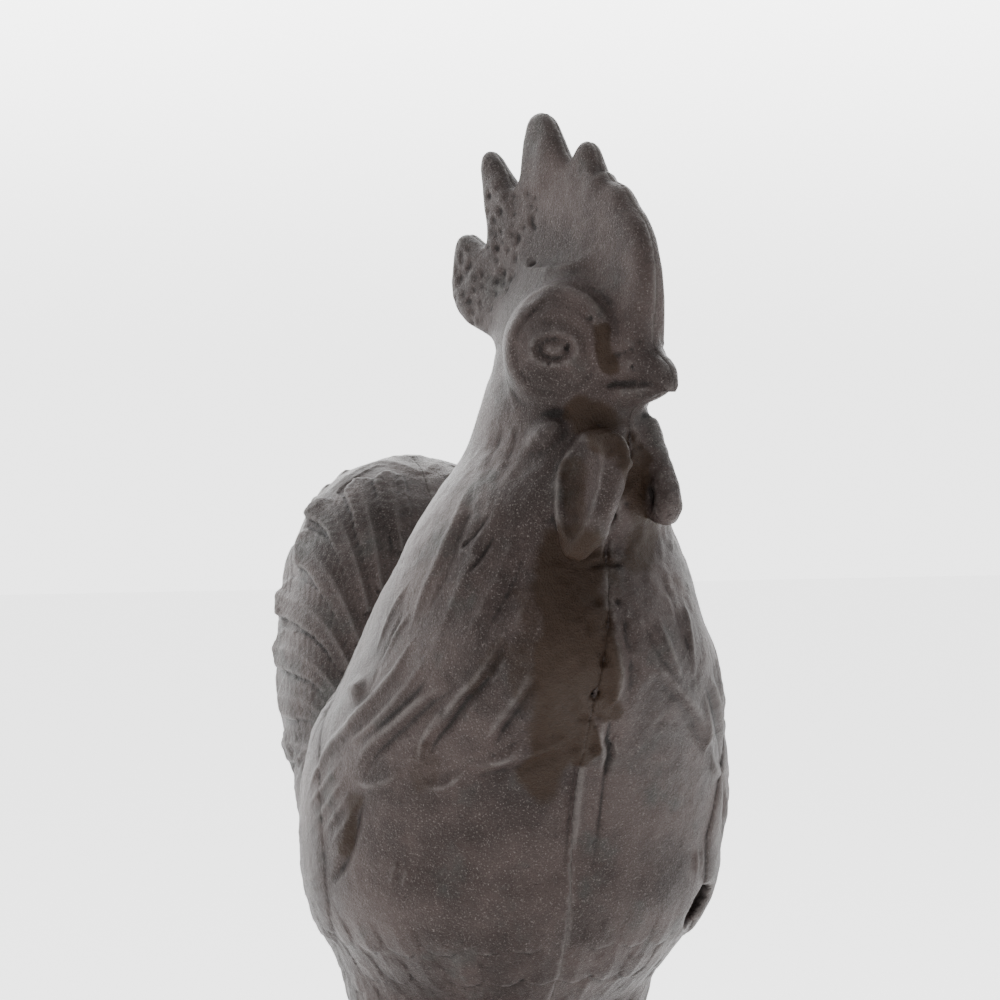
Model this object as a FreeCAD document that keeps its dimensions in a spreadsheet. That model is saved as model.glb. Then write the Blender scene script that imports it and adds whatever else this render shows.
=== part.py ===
import FreeCAD, Part
import math
import os

# A cast-iron garden cockerel, standing on an oval plate. It looks along -Y, its head turned to its left (+X).
# Origin: centre of the plate's underside. +Z up. Millimetres and degrees.
# The body is two hollow castings that meet on a lengthwise joint, which follows the turn of the neck.

doc = FreeCAD.newDocument("CastCockerel")
sheet = doc.addObject("Spreadsheet::Sheet", "Sizes")

SIZES = (
    # the figure
    ("figure_height", 400.0),
    ("body_length", 160.0),
    ("body_width", 122.0),
    ("neck_axis_forward", 38.0),
    ("head_turn", 22.0),
    ("casting_wall", 5.0),
    ("hollow_foot_height", 128.0),
    ("hollow_head_height", 304.0),
    ("joint_gap", 0.2),
    ("overrun", 10.0),
    # head
    ("comb_length", 95.0),
    ("comb_height", 76.0),
    ("comb_thickness", 9.0),
    ("comb_foot_height", 325.0),
    ("eye_disc_radius", 16.0),
    ("eye_disc_bulge", 7.0),
    ("eye_radius", 3.6),
    ("eye_height", 332.0),
    ("eye_forward", 21.0),
    ("eye_outward", 12.0),
    ("eye_splay", 30.0),
    ("beak_length", 30.0),
    ("beak_width", 18.0),
    ("beak_depth", 15.0),
    ("beak_height", 323.0),
    ("beak_root_forward", 26.0),
    ("wattle_length", 38.0),
    ("wattle_width", 20.0),
    ("wattle_thickness", 9.0),
    ("wattle_top_height", 310.0),
    ("wattle_forward", 33.0),
    ("wattle_outward", 13.5),
    ("ear_lobe_length", 15.0),
    ("ear_lobe_width", 8.0),
    ("ear_lobe_outward", 17.0),
    # plumage
    ("tail_length", 92.0),
    ("tail_height", 150.0),
    ("tail_half_thickness", 42.0),
    ("tail_root_back", 60.0),
    ("tail_root_height", 150.0),
    ("tail_feather_width", 30.0),
    ("tail_feather_thickness", 13.0),
    ("wing_length", 140.0),
    ("wing_depth", 78.0),
    ("wing_thickness", 14.0),
    ("wing_front", 32.0),
    ("wing_height", 186.0),
    ("wing_outward", 50.0),
    ("flight_feather_width", 18.0),
    # legs
    ("leg_spread", 54.0),
    ("leg_back", 16.0),
    ("thigh_foot_height", 100.0),
    ("thigh_length", 62.0),
    ("thigh_width", 44.0),
    ("shank_radius", 6.5),
    ("toe_length", 42.0),
    ("toe_radius", 5.5),
    ("toe_spread", 34.0),
    ("spur_length", 13.0),
    ("stud_radius", 4.9),
    ("leg_boss_radius", 12.0),
    ("leg_boss_height", 139.0),
    # base plate
    ("plate_length", 200.0),
    ("plate_width", 136.0),
    ("plate_thickness", 14.0),
    ("plate_edge_radius", 5.0),
    ("plate_back", 6.0),
    # fasteners
    ("running_clearance", 0.3),
    ("thread_clearance", 0.1),
    ("cross_screw_radius", 3.9),
    ("cross_head_radius", 6.6),
    ("cross_head_height", 4.6),
    ("cross_boss_radius", 9.0),
    ("slot_width", 1.6),
    ("slot_depth", 1.8),
    ("screw_bite", 26.0),
    ("nut_across_flats", 16.0),
    ("nut_height", 8.0),
    ("washer_radius", 9.6),
    ("washer_thickness", 1.8),
    ("foot_screw_radius", 2.9),
    ("foot_head_radius", 5.0),
    ("foot_head_height", 4.0),
    ("foot_screw_length", 24.0),
    ("peg_radius", 2.6),
    ("peg_length", 6.0),
    ("peg_forward", 23.1),
    ("head_recess", 1.0),
    ("blind_clearance", 1.2),
    ("neck_screw_height", 256.0),
    ("neck_screw_seat", 36.6),
    ("breast_screw_forward", 25.6),
    ("breast_screw_height", 162.0),
    ("breast_screw_seat", 35.4),
    ("tail_screw_back", 102.0),
    ("tail_screw_height", 225.0),
    ("tail_screw_seat", 32.0),
)

for line, (alias, value) in enumerate(SIZES, start=1):
    sheet.set("A%d" % line, alias)
    sheet.set("B%d" % line, str(value))
    sheet.setAlias("B%d" % line, alias)
doc.recompute()


def size(alias):
    """The value of one driving size."""
    return float(sheet.get(alias))


UP = FreeCAD.Vector(0, 0, 1)
ACROSS = FreeCAD.Vector(1, 0, 0)
ALONG = FreeCAD.Vector(0, 1, 0)
QUARTER_TURN = 90
HALF = 0.5
RING_SIDES = 12
SMALL_RING_SIDES = 8
PLATE_RING_SIDES = 48
SIDES = {"right": -1, "left": 1}

HALF_WIDTH = size("body_width") / 2
NECK_AXIS = FreeCAD.Vector(0, -size("neck_axis_forward"), 0)
HEAD_PLACE = FreeCAD.Placement(NECK_AXIS, FreeCAD.Rotation(UP, size("head_turn")))


def bind(thing, **expressions):
    """Bind properties to the sheet: a double underscore in a key stands for a dot."""
    for key, expression in expressions.items():
        thing.setExpression(key.replace("__", "."), expression)
    return thing


def ring(centre, half_across, half_deep, lean=0, turn=0, sides=RING_SIDES):
    """A many-sided oval round centre: half sizes along X and Y, then leant about X and turned about Z."""
    corners = []
    for index in range(sides):
        angle = 2 * math.pi * (index + HALF) / sides
        corners.append(FreeCAD.Vector(half_across * math.cos(angle), half_deep * math.sin(angle), 0))
    wire = Part.makePolygon(corners + corners[:1])
    spin = FreeCAD.Rotation(UP, turn).multiply(FreeCAD.Rotation(ACROSS, lean))
    wire.Placement = FreeCAD.Placement(centre, spin)
    return wire


def small_ring(centre, half_across, half_deep, lean=0, turn=0):
    """A ring with fewer sides, for the small forms."""
    return ring(centre, half_across, half_deep, lean, turn, SMALL_RING_SIDES)


def kite(centre, half_across, half_deep, lean=0, turn=0):
    """A four-cornered ring of the same half sizes as an oval: its corners make a rib and two thin edges."""
    corners = [
        FreeCAD.Vector(half_across, 0, 0),
        FreeCAD.Vector(0, half_deep, 0),
        FreeCAD.Vector(-half_across, 0, 0),
        FreeCAD.Vector(0, -half_deep, 0),
    ]
    wire = Part.makePolygon(corners + corners[:1])
    spin = FreeCAD.Rotation(UP, turn).multiply(FreeCAD.Rotation(ACROSS, lean))
    wire.Placement = FreeCAD.Placement(centre, spin)
    return wire


def form(name, rings):
    """A sculpted solid through its rings, with flat facets from one ring to the next."""
    corners = [[vertex.Point for vertex in wire.OrderedVertexes] for wire in rings]
    faces = [Part.Face(rings[0]), Part.Face(rings[-1])]
    for low, high in zip(corners, corners[1:]):
        count = len(low)
        for index in range(count):
            after = (index + 1) % count
            for triangle in ((low[index], low[after], high[after]), (low[index], high[after], high[index])):
                faces.append(Part.Face(Part.makePolygon(triangle + triangle[:1])))
    shell = Part.makeShell(faces)
    shell.sewShape()
    solid = doc.addObject("Part::Feature", name)
    solid.Shape = Part.Solid(shell)
    if solid.Shape.Volume < 0:
        solid.Shape = solid.Shape.reversed()
    return solid


def fused(name, pieces):
    """One solid of several that run into each other, joined one after another."""
    union = pieces[0]
    for index, piece in enumerate(pieces[1:], start=1):
        joined = doc.addObject("Part::Fuse", "%sJoin%d" % (name, index))
        joined.Refine = False
        joined.Base = union
        joined.Tool = piece
        union = joined
    return union


def cut(name, base, tool):
    """The base without the tool."""
    rest = doc.addObject("Part::Cut", name)
    rest.Refine = False
    rest.Base = base
    rest.Tool = tool
    return rest


def shared(name, base, tool):
    """What the base and the tool have in common."""
    overlap = doc.addObject("Part::Common", name)
    overlap.Refine = False
    overlap.Base = base
    overlap.Tool = tool
    return overlap


def curve_point(root, middle, tip, share):
    """A point at a share of the way along a quadratic curve, and the curve's direction there."""
    start = root * (1 - share) ** 2
    point = start + middle * (2 * share * (1 - share)) + tip * share**2
    heading = (middle - root) * (1 - share) + (tip - middle) * share
    return point, heading


def vane(name, root, middle, tip, width, thickness, width_shares, section=kite):
    """A blade along a curve in a lengthwise plane, thick across X and wide in the plane."""
    rings = []
    last = len(width_shares) - 1
    for index, share in enumerate(width_shares):
        centre, heading = curve_point(root, middle, tip, index / last)
        lean = math.degrees(math.atan2(-heading.y, heading.z))
        rings.append(section(centre, thickness / 2 * share, width / 2 * share, lean))
    return form(name, rings)


# Head, neck and body: height, front, back, half width and turn of each ring.
# They are shares of figure height, body length, body length, half the body width and head turn.
BODY_RING_SHARES = (
    (0.2850, 0.030, 0.230, 0.240, 0.00),
    (0.3050, -0.080, 0.330, 0.480, 0.00),
    (0.3375, -0.200, 0.430, 0.690, 0.00),
    (0.3750, -0.280, 0.488, 0.852, 0.00),
    (0.4150, -0.325, 0.500, 0.940, 0.00),
    (0.4500, -0.335, 0.490, 0.975, 0.00),
    (0.4800, -0.350, 0.475, 0.985, 0.00),
    (0.5100, -0.372, 0.460, 1.000, 0.00),
    (0.5400, -0.408, 0.440, 0.980, 0.00),
    (0.5700, -0.455, 0.375, 0.925, 0.00),
    (0.6000, -0.495, 0.306, 0.860, 0.05),
    (0.6300, -0.497, 0.219, 0.787, 0.14),
    (0.6600, -0.462, 0.106, 0.730, 0.27),
    (0.6900, -0.440, 0.056, 0.640, 0.45),
    (0.7200, -0.460, 0.020, 0.516, 0.64),
    (0.7500, -0.470, -0.025, 0.375, 0.82),
    (0.7875, -0.445, -0.081, 0.328, 0.95),
    (0.8250, -0.437, -0.112, 0.279, 1.00),
    (0.8600, -0.410, -0.125, 0.225, 1.00),
    (0.8825, -0.350, -0.180, 0.130, 1.00),
)


def body_rings(inset, lowest, highest):
    """Rings of the body between two heights, drawn in by a wall."""
    rings = []
    for height, front, back, half_width, turn in BODY_RING_SHARES:
        level = height * size("figure_height")
        if level < lowest or level > highest:
            continue
        low_y = front * size("body_length") + inset
        high_y = back * size("body_length") - inset
        angle = turn * size("head_turn")
        spin = FreeCAD.Rotation(UP, angle)
        offset = FreeCAD.Vector(0, (low_y + high_y) / 2, level) - NECK_AXIS
        centre = NECK_AXIS + spin.multVec(offset)
        half_across = half_width * HALF_WIDTH - inset
        half_deep = (high_y - low_y) / 2
        rings.append(ring(centre, half_across, half_deep, turn=angle))
    return rings


# Comb: a thin blade of stacked rings with spikes, in the head's own frame.
# Rings: height, rear, front (shares of comb height, comb length, comb length) and thickness share.
COMB_RING_SHARES = (
    (-0.08, -0.05, 0.46, 1.25),
    (0.16, -0.27, 0.505, 1.10),
    (0.32, -0.455, 0.512, 1.00),
    (0.47, -0.375, 0.495, 0.92),
    (0.63, -0.285, 0.430, 0.84),
    (0.77, -0.170, 0.270, 0.72),
)
# Spikes: foot forward, foot height, tip forward, tip height and half length of the foot.
COMB_SPIKE_SHARES = (
    (-0.385, 0.33, -0.455, 0.575, 0.085),
    (-0.210, 0.52, -0.320, 0.905, 0.130),
    (-0.030, 0.64, -0.055, 1.010, 0.120),
    (0.135, 0.66, 0.165, 0.890, 0.105),
    (0.275, 0.60, 0.305, 0.760, 0.090),
    (0.385, 0.52, 0.430, 0.650, 0.075),
)
SPIKE_TAPER_SHARES = (1.0, 0.66, 0.38, 0.14)


def comb_point(forward, height):
    """A point of the comb, from shares, in the head's own frame."""
    level = size("comb_foot_height") + height * size("comb_height")
    return FreeCAD.Vector(0, -forward * size("comb_length"), level)


def build_comb():
    """The comb's blade and its spikes."""
    rings = []
    for height, rear, front, thick in COMB_RING_SHARES:
        centre = comb_point((rear + front) / 2, height)
        half_length = (front - rear) / 2 * size("comb_length")
        rings.append(ring(centre, thick * size("comb_thickness") / 2, half_length))
    pieces = [form("CombBlade", rings)]
    for index, (foot, low, tip, high, half) in enumerate(COMB_SPIKE_SHARES):
        start = comb_point(foot, low)
        end = comb_point(tip, high)
        width = 2 * half * size("comb_length")
        middle = (start + end) / 2
        name = "CombSpike%d" % index
        spike = vane(name, start, middle, end, width, size("comb_thickness"), SPIKE_TAPER_SHARES, small_ring)
        pieces.append(spike)
    return pieces


# Beak: forward share of the beak's length, drop, half width and half depth as shares of its width and depth.
UPPER_BEAK_SHARES = (
    (-0.30, 0.00, 0.62, 0.56),
    (0.10, 0.02, 0.50, 0.46),
    (0.50, 0.04, 0.33, 0.34),
    (0.80, 0.12, 0.19, 0.24),
    (1.00, 0.34, 0.07, 0.10),
)
LOWER_BEAK_SHARES = (
    (-0.30, 0.52, 0.50, 0.40),
    (0.20, 0.50, 0.36, 0.26),
    (0.55, 0.48, 0.22, 0.16),
    (0.76, 0.44, 0.10, 0.08),
)


def build_beak(name, table):
    """The upper or lower beak, pointing forward."""
    rings = []
    for forward, drop, half_width, half_depth in table:
        reach = size("beak_root_forward") + forward * size("beak_length")
        centre = FreeCAD.Vector(0, -reach, size("beak_height") - drop * size("beak_depth"))
        half_across = half_width * size("beak_width")
        rings.append(small_ring(centre, half_across, half_depth * size("beak_depth"), QUARTER_TURN))
    return form(name, rings)


# Eye disc: radius as a share of the disc's, and place along its axis as a share of its bulge.
EYE_RING_SHARES = (
    (0.98, -1.10),
    (1.03, 0.05),
    (0.97, 0.44),
    (0.86, 0.68),
    (0.75, 0.62),
    (0.46, 0.88),
    (0.40, 1.03),
    (0.30, 1.06),
    (0.24, 0.94),
    (0.13, 1.04),
    (0.09, 1.18),
    (0.04, 1.20),
)


def build_eye(name, side):
    """A domed eye disc with its raised rim, lid ring and eye."""
    turn = side * (QUARTER_TURN - size("eye_splay"))
    centre = FreeCAD.Vector(side * size("eye_outward"), -size("eye_forward"), size("eye_height"))
    outward = FreeCAD.Rotation(UP, turn).multVec(FreeCAD.Vector(0, -size("eye_disc_bulge"), 0))
    rings = []
    for radius, reach in EYE_RING_SHARES:
        half = radius * size("eye_disc_radius")
        rings.append(small_ring(centre + outward * reach, half, half, QUARTER_TURN, turn))
    return form(name + "EyeDisc", rings)


# Wattle: drop, half width and half thickness as shares of its length, width and thickness.
WATTLE_RING_SHARES = (
    (-0.16, 0.22, 0.55),
    (0.10, 0.42, 0.52),
    (0.42, 0.52, 0.50),
    (0.72, 0.40, 0.40),
    (0.92, 0.20, 0.24),
    (1.00, 0.08, 0.12),
)


def build_wattle(name, side):
    """One hanging wattle below the beak."""
    rings = []
    for drop, half_width, half_thick in WATTLE_RING_SHARES:
        level = size("wattle_top_height") - drop * size("wattle_length")
        centre = FreeCAD.Vector(side * size("wattle_outward"), -size("wattle_forward"), level)
        turn = side * -size("eye_splay") / 2
        across = half_thick * size("wattle_thickness")
        rings.append(small_ring(centre, across, half_width * size("wattle_width"), turn=turn))
    return form(name, rings)


# Ear lobe: place along its length, as a share of half of it, and how wide it is there.
EAR_LOBE_RING_SHARES = ((-1.0, 0.30), (-0.7, 0.78), (0.0, 1.0), (0.7, 0.78), (1.0, 0.30))
EAR_LOBE_PLACE_SHARES = {"drop": 0.62, "forward": 0.8}


def build_ear_lobe(name, side):
    """The oval lobe behind and below the eye disc."""
    drop = size("eye_disc_radius") + size("ear_lobe_length") * EAR_LOBE_PLACE_SHARES["drop"]
    forward = size("eye_forward") * EAR_LOBE_PLACE_SHARES["forward"]
    centre = FreeCAD.Vector(side * size("ear_lobe_outward"), -forward, size("eye_height") - drop)
    lean = QUARTER_TURN - size("eye_splay")
    axis = FreeCAD.Rotation(ACROSS, lean).multVec(UP) * (size("ear_lobe_length") / 2)
    half = size("ear_lobe_width") / 2
    rings = []
    for place, width in EAR_LOBE_RING_SHARES:
        rings.append(small_ring(centre + axis * place, half * width, half * width, lean))
    return form(name, rings)


def build_head():
    """Comb, beak, eyes, wattles and ear lobes, turned with the head."""
    pieces = build_comb()
    pieces.append(build_beak("UpperBeak", UPPER_BEAK_SHARES))
    pieces.append(build_beak("LowerBeak", LOWER_BEAK_SHARES))
    for side_name, side in SIDES.items():
        pieces.append(build_eye(side_name, side))
        pieces.append(build_wattle(side_name + "Wattle", side))
        pieces.append(build_ear_lobe(side_name + "EarLobe", side))
    for piece in pieces:
        piece.Placement = HEAD_PLACE.multiply(piece.Placement)
    return pieces


# Tail: a thick core with feathers that fan out over it. Places are shares of the tail's length and height
# from its root, and of its half thickness outward.
TAIL_CORE_SHARES = (
    (0.02, 0.00, 0.81, 0.74),
    (0.13, 0.16, 0.93, 0.91),
    (0.28, 0.33, 0.99, 1.00),
    (0.41, 0.50, 1.00, 0.96),
    (0.51, 0.67, 0.96, 0.87),
    (0.58, 0.80, 0.83, 0.74),
    (0.61, 0.89, 0.62, 0.56),
    (0.62, 0.95, 0.34, 0.33),
    (0.62, 0.98, 0.12, 0.11),
)
TAIL_HOLLOW_TOP_SHARE = 0.9
TAIL_FEATHER_SHARES = (
    (0.30, 0.50, 0.40, 0.98, 0.86, 0.88, 0.50),
    (0.24, 0.40, 0.50, 0.84, 0.98, 0.70, 0.74),
    (0.20, 0.30, 0.56, 0.66, 1.02, 0.50, 0.86),
    (0.16, 0.20, 0.56, 0.48, 0.98, 0.30, 0.88),
    (0.10, 0.10, 0.48, 0.30, 0.86, 0.12, 0.84),
)
SICKLE_SHARES = (0.24, 0.56, 0.44, 1.10, 1.06, 0.82, 0.22)
FEATHER_WIDTH_SHARES = (0.55, 0.92, 1.04, 0.80, 0.16)
FEATHER_ROOT_OUT_SHARE = 0.94
FEATHER_TIP_OUT_SHARE = 0.84


def tail_point(back, rise, out=0):
    """A point of the tail, from shares, measured from the tail's root."""
    across = out * size("tail_half_thickness")
    along = size("tail_root_back") + back * size("tail_length")
    return FreeCAD.Vector(across, along, size("tail_root_height") + rise * size("tail_height"))


def tail_feather(name, side, shares, width):
    """One tail feather from root to tip."""
    root_back, root_rise, mid_back, mid_rise, tip_back, tip_rise, out = shares
    root = tail_point(root_back, root_rise, side * out * FEATHER_ROOT_OUT_SHARE)
    middle = tail_point(mid_back, mid_rise, side * out)
    tip = tail_point(tip_back, tip_rise, side * out * FEATHER_TIP_OUT_SHARE)
    return vane(name, root, middle, tip, width, size("tail_feather_thickness"), FEATHER_WIDTH_SHARES)


def tail_core(name, inset, top_share):
    """The tail's core up to a share of its height, or the hollow in it when drawn in by a wall."""
    rings = []
    for back, rise, thick, deep in TAIL_CORE_SHARES:
        if rise > top_share:
            continue
        half_across = thick * size("tail_half_thickness") - inset
        half_deep = deep * size("tail_length") / 2 - inset
        rings.append(ring(tail_point(back, rise), half_across, half_deep))
    return form(name, rings)


def build_tail_feathers(side_name, side):
    """The fan of feathers over one side of the tail's core."""
    pieces = [tail_feather(side_name + "Sickle", side, SICKLE_SHARES, size("tail_feather_width"))]
    for index, shares in enumerate(TAIL_FEATHER_SHARES):
        name = "%sTailFeather%d" % (side_name, index)
        pieces.append(tail_feather(name, side, shares, size("tail_feather_width")))
    return pieces


# Wing: share of the wing's length, drop, half thickness and half depth.
WING_RING_SHARES = (
    (0.00, 0.04, 0.20, 0.16),
    (0.08, 0.01, 0.62, 0.36),
    (0.25, -0.02, 0.95, 0.48),
    (0.50, 0.03, 0.95, 0.47),
    (0.72, 0.14, 0.80, 0.36),
    (0.90, 0.30, 0.48, 0.20),
    (1.00, 0.38, 0.18, 0.08),
)
FLIGHT_FEATHER_SHARES = ((0.46, 0.16, 0.98, 0.36), (0.38, 0.30, 0.92, 0.48), (0.30, 0.38, 0.82, 0.56))
FLIGHT_THICKNESS_SHARE = 1.3
WING_CLOSING_SHARE = 0.16


def wing_point(share, drop, side):
    """A point of a wing, which lies closer to the body toward its tip."""
    across = size("wing_outward") * (1 - WING_CLOSING_SHARE * share**2)
    along = share * size("wing_length") - size("wing_front")
    return FreeCAD.Vector(side * across, along, size("wing_height") - drop * size("wing_depth"))


def build_wing(name, side):
    """A folded wing with three flight feathers showing below it."""
    rings = []
    for share, drop, thick, deep in WING_RING_SHARES:
        half_across = thick * size("wing_thickness")
        half_deep = deep * size("wing_depth")
        rings.append(ring(wing_point(share, drop, side), half_across, half_deep, QUARTER_TURN))
    pieces = [form(name, rings)]
    for index, (start, low, end, lower) in enumerate(FLIGHT_FEATHER_SHARES):
        root = wing_point(start, low, side)
        tip = wing_point(end, lower, side)
        middle = wing_point((start + end) / 2, lower, side)
        thickness = size("wing_thickness") * FLIGHT_THICKNESS_SHARE
        feather_name = "%sFlight%d" % (name, index)
        width = size("flight_feather_width")
        pieces.append(vane(feather_name, root, middle, tip, width, thickness, FEATHER_WIDTH_SHARES))
    return pieces


# Thigh: height share above its foot, then half width and half length as shares of its width.
THIGH_RING_SHARES = (
    (0.00, 0.28, 0.30),
    (0.22, 0.36, 0.40),
    (0.50, 0.47, 0.62),
    (0.80, 0.50, 0.86),
    (1.00, 0.42, 0.92),
)


def build_thigh(name, side):
    """The feathered thigh, whose flat foot seats the leg."""
    rings = []
    for rise, half_across, half_deep in THIGH_RING_SHARES:
        level = size("thigh_foot_height") + rise * size("thigh_length")
        centre = FreeCAD.Vector(side * size("leg_spread") / 2, size("leg_back"), level)
        rings.append(ring(centre, half_across * size("thigh_width"), half_deep * size("thigh_width")))
    return form(name, rings)


def cylinder(name, radius, height, **places):
    """A cylinder along Z whose sizes and place are expressions of the sheet."""
    rod = doc.addObject("Part::Cylinder", name)
    bind(rod, Radius=radius, Height=height)
    for axis, expression in places.items():
        rod.setExpression("Placement.Base." + axis, expression)
    return rod


def cross_cylinder(name, radius, length, start, along, level):
    """A cylinder that runs toward +X from start."""
    rod = cylinder(name, radius, length)
    rod.Placement = FreeCAD.Placement(FreeCAD.Vector(0, 0, 0), FreeCAD.Rotation(ALONG, QUARTER_TURN))
    bind(rod, Placement__Base__x=start, Placement__Base__y=along, Placement__Base__z=level)
    return rod


# Cross screws: place along Y and height, and where the head seats on the left side, as expressions.
CROSS_SCREWS = {
    "neck_screw": ("-Sizes.neck_axis_forward", "Sizes.neck_screw_height", "Sizes.neck_screw_seat"),
    "breast_screw": ("-Sizes.breast_screw_forward", "Sizes.breast_screw_height", "Sizes.breast_screw_seat"),
    "tail_screw": ("Sizes.tail_screw_back", "Sizes.tail_screw_height", "Sizes.tail_screw_seat"),
}


def build_posts():
    """Bosses that cross the hollow for the screws, and those that carry the legs."""
    posts = []
    reach = "(Sizes.body_width + Sizes.overrun)"
    start = "-%s / 2" % reach
    for name, (along, level, _seat) in CROSS_SCREWS.items():
        posts.append(cross_cylinder(name + "_post", "Sizes.cross_boss_radius", reach, start, along, level))
    for side_name, side in SIDES.items():
        post = cylinder(
            side_name + "_leg_post", "Sizes.leg_boss_radius", "Sizes.leg_boss_height",
            x="Sizes.leg_spread / 2 * %d" % side, y="Sizes.leg_back",
        )
        posts.append(post)
    return posts


posts = fused("Posts", build_posts())
hollow_rings = body_rings(size("casting_wall"), size("hollow_foot_height"), size("hollow_head_height"))
body_hollow = cut("BodyHollow", form("BodySpace", hollow_rings), posts)
tail_hollow = cut("TailHollow", tail_core("TailSpace", size("casting_wall"), TAIL_HOLLOW_TOP_SHARE), posts)

figure_pieces = [form("Trunk", body_rings(0, 0, size("figure_height")))]
for side_name, side in SIDES.items():
    figure_pieces.append(build_thigh(side_name + "Thigh", side))
    figure_pieces.append(fused(side_name + "FoldedWing", build_wing(side_name + "Wing", side)))
figure_pieces.append(fused("Head", build_head()))
figure_pieces.append(tail_core("TailCore", 0, 1))
for side_name, side in SIDES.items():
    figure_pieces.append(fused(side_name + "Fan", build_tail_feathers(side_name, side)))
figure = cut("HollowFigure", cut("HollowBody", fused("Figure", figure_pieces), body_hollow), tail_hollow)


# The joint is flat from the tail to the neck and turns with the neck: height and head turn of its levels,
# then how far behind the neck's axis the turned stretch ends and where the flat one starts, all as shares.
JOINT_LEVEL_SHARES = ((-0.02, 0.0), (0.5825, 0.0), (0.69375, 0.5), (0.805, 1.0), (1.08, 1.0))
JOINT_BEND_SHARES = (0.34, 0.45)
JOINT_FORWARD_SHARE = 1.3


def joint_block(name, side):
    """Everything on one side of the joint."""
    reach = size("figure_height") / 2
    near = side * size("joint_gap") / 2
    wires = []
    for level_share, turn_share in JOINT_LEVEL_SHARES:
        level = FreeCAD.Vector(0, 0, level_share * size("figure_height"))
        spin = FreeCAD.Rotation(UP, turn_share * size("head_turn"))
        corners = []
        for along in (-reach, JOINT_BEND_SHARES[0] * size("body_length")):
            corners.append(NECK_AXIS + level + spin.multVec(FreeCAD.Vector(near, along, 0)))
        corners.append(level + FreeCAD.Vector(near, JOINT_BEND_SHARES[1] * size("body_length"), 0))
        corners.append(level + FreeCAD.Vector(near, reach, 0))
        corners.append(level + FreeCAD.Vector(side * reach, reach, 0))
        corners.append(level + FreeCAD.Vector(side * reach, -reach * JOINT_FORWARD_SHARE, 0))
        wires.append(Part.makePolygon(corners + corners[:1]))
    block = doc.addObject("Part::Feature", name)
    block.Shape = Part.makeLoft(wires, True, True)
    return block


def screw_holes(side_name, side):
    """The holes for the cross screws and the leg's stud in one half."""
    holes = []
    for name, (along, level, seat) in CROSS_SCREWS.items():
        label = "%s_%s" % (side_name, name)
        if side < 0:
            depth = "(Sizes.screw_bite + Sizes.blind_clearance)"
            radius = "Sizes.cross_screw_radius + Sizes.thread_clearance"
            holes.append(cross_cylinder(label + "_tapping", radius, depth, "-" + depth, along, level))
        else:
            reach = "Sizes.body_width"
            radius = "Sizes.cross_screw_radius + Sizes.running_clearance"
            holes.append(cross_cylinder(label + "_clearance", radius, reach, "-Sizes.overrun", along, level))
            radius = "Sizes.cross_head_radius + Sizes.running_clearance"
            holes.append(cross_cylinder(label + "_seat", radius, reach, seat, along, level))
    stud = cylinder(
        side_name + "_stud_hole", "Sizes.stud_radius + Sizes.running_clearance",
        "Sizes.leg_boss_height + Sizes.overrun", x="Sizes.leg_spread / 2 * %d" % side, y="Sizes.leg_back",
    )
    holes.append(stud)
    return holes


nodes = {}
for side_name, side in SIDES.items():
    half = shared(side_name + "Half", figure, joint_block(side_name + "Block", side))
    holes = fused(side_name + "Holes", screw_holes(side_name, side))
    nodes[side_name + "_half_casting"] = cut(side_name + "HalfCasting", half, holes)


def in_body(body, kind, name, place, **expressions):
    """A PartDesign primitive in a body, its place given as an expression for z."""
    feature = body.newObject("PartDesign::" + kind, name)
    bind(feature, **expressions)
    feature.setExpression("Placement.Base.z", place)
    return feature


def slotted_screw(name, radius, head_radius, head_height, length):
    """A cheese-head screw along +Z: the head's underside at z = 0 and the shank below."""
    body = doc.addObject("PartDesign::Body", name)
    in_body(body, "AdditiveCylinder", name + "Shank", "-(%s)" % length, Radius=radius, Height=length)
    in_body(body, "AdditiveCylinder", name + "Head", "0 mm", Radius=head_radius, Height=head_height)
    slot = in_body(
        body, "SubtractiveBox", name + "Slot", "%s - Sizes.slot_depth" % head_height, Length="Sizes.slot_width",
        Width="(%s) * 2 + Sizes.overrun" % head_radius, Height="Sizes.slot_depth * 2",
    )
    bind(slot, Placement__Base__x="-Sizes.slot_width / 2")
    bind(slot, Placement__Base__y="-(%s) - Sizes.overrun / 2" % head_radius)
    return body


for name, (along, level, seat) in CROSS_SCREWS.items():
    length = "(%s + Sizes.screw_bite)" % seat
    head_height = "Sizes.cross_head_height"
    screw = slotted_screw(name, "Sizes.cross_screw_radius", "Sizes.cross_head_radius", head_height, length)
    screw.Placement = FreeCAD.Placement(FreeCAD.Vector(0, 0, 0), FreeCAD.Rotation(ALONG, QUARTER_TURN))
    bind(screw, Placement__Base__x=seat, Placement__Base__y=along, Placement__Base__z=level)
    nodes[name] = screw


# Leg: height share between the plate and the thigh, then radius as a share of the shank's.
LEG_RING_SHARES = (
    (0.06, 1.45),
    (0.14, 1.28),
    (0.24, 1.02),
    (0.50, 0.98),
    (0.74, 1.10),
    (0.88, 1.55),
    (1.00, 1.80),
)
SPUR_TAPER_SHARES = (1.3, 0.85, 0.2)
# Spur: height of its foot as a share of the shank, then where its tip lies, as shares of its length.
SPUR_FOOT_SHARE = 0.36
SPUR_TIP_SHARES = (-0.5, 1.1, 0.4)
# Toe: turn as a share of the toe spread, and length as a share of the toe length.
TOE_TURN_SHARES = {"Inner": (-1.0, 0.86), "Middle": (0.0, 1.0), "Outer": (1.0, 0.9), "Hind": (5.3, 0.56)}
# Toe bones: start and end as shares of the toe's length, then the radius at each as a share of the toe's.
TOE_BONE_SHARES = ((0.00, 0.52, 1.22, 0.82), (0.48, 0.80, 1.04, 0.68), (0.76, 1.08, 0.84, 0.14))


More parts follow.
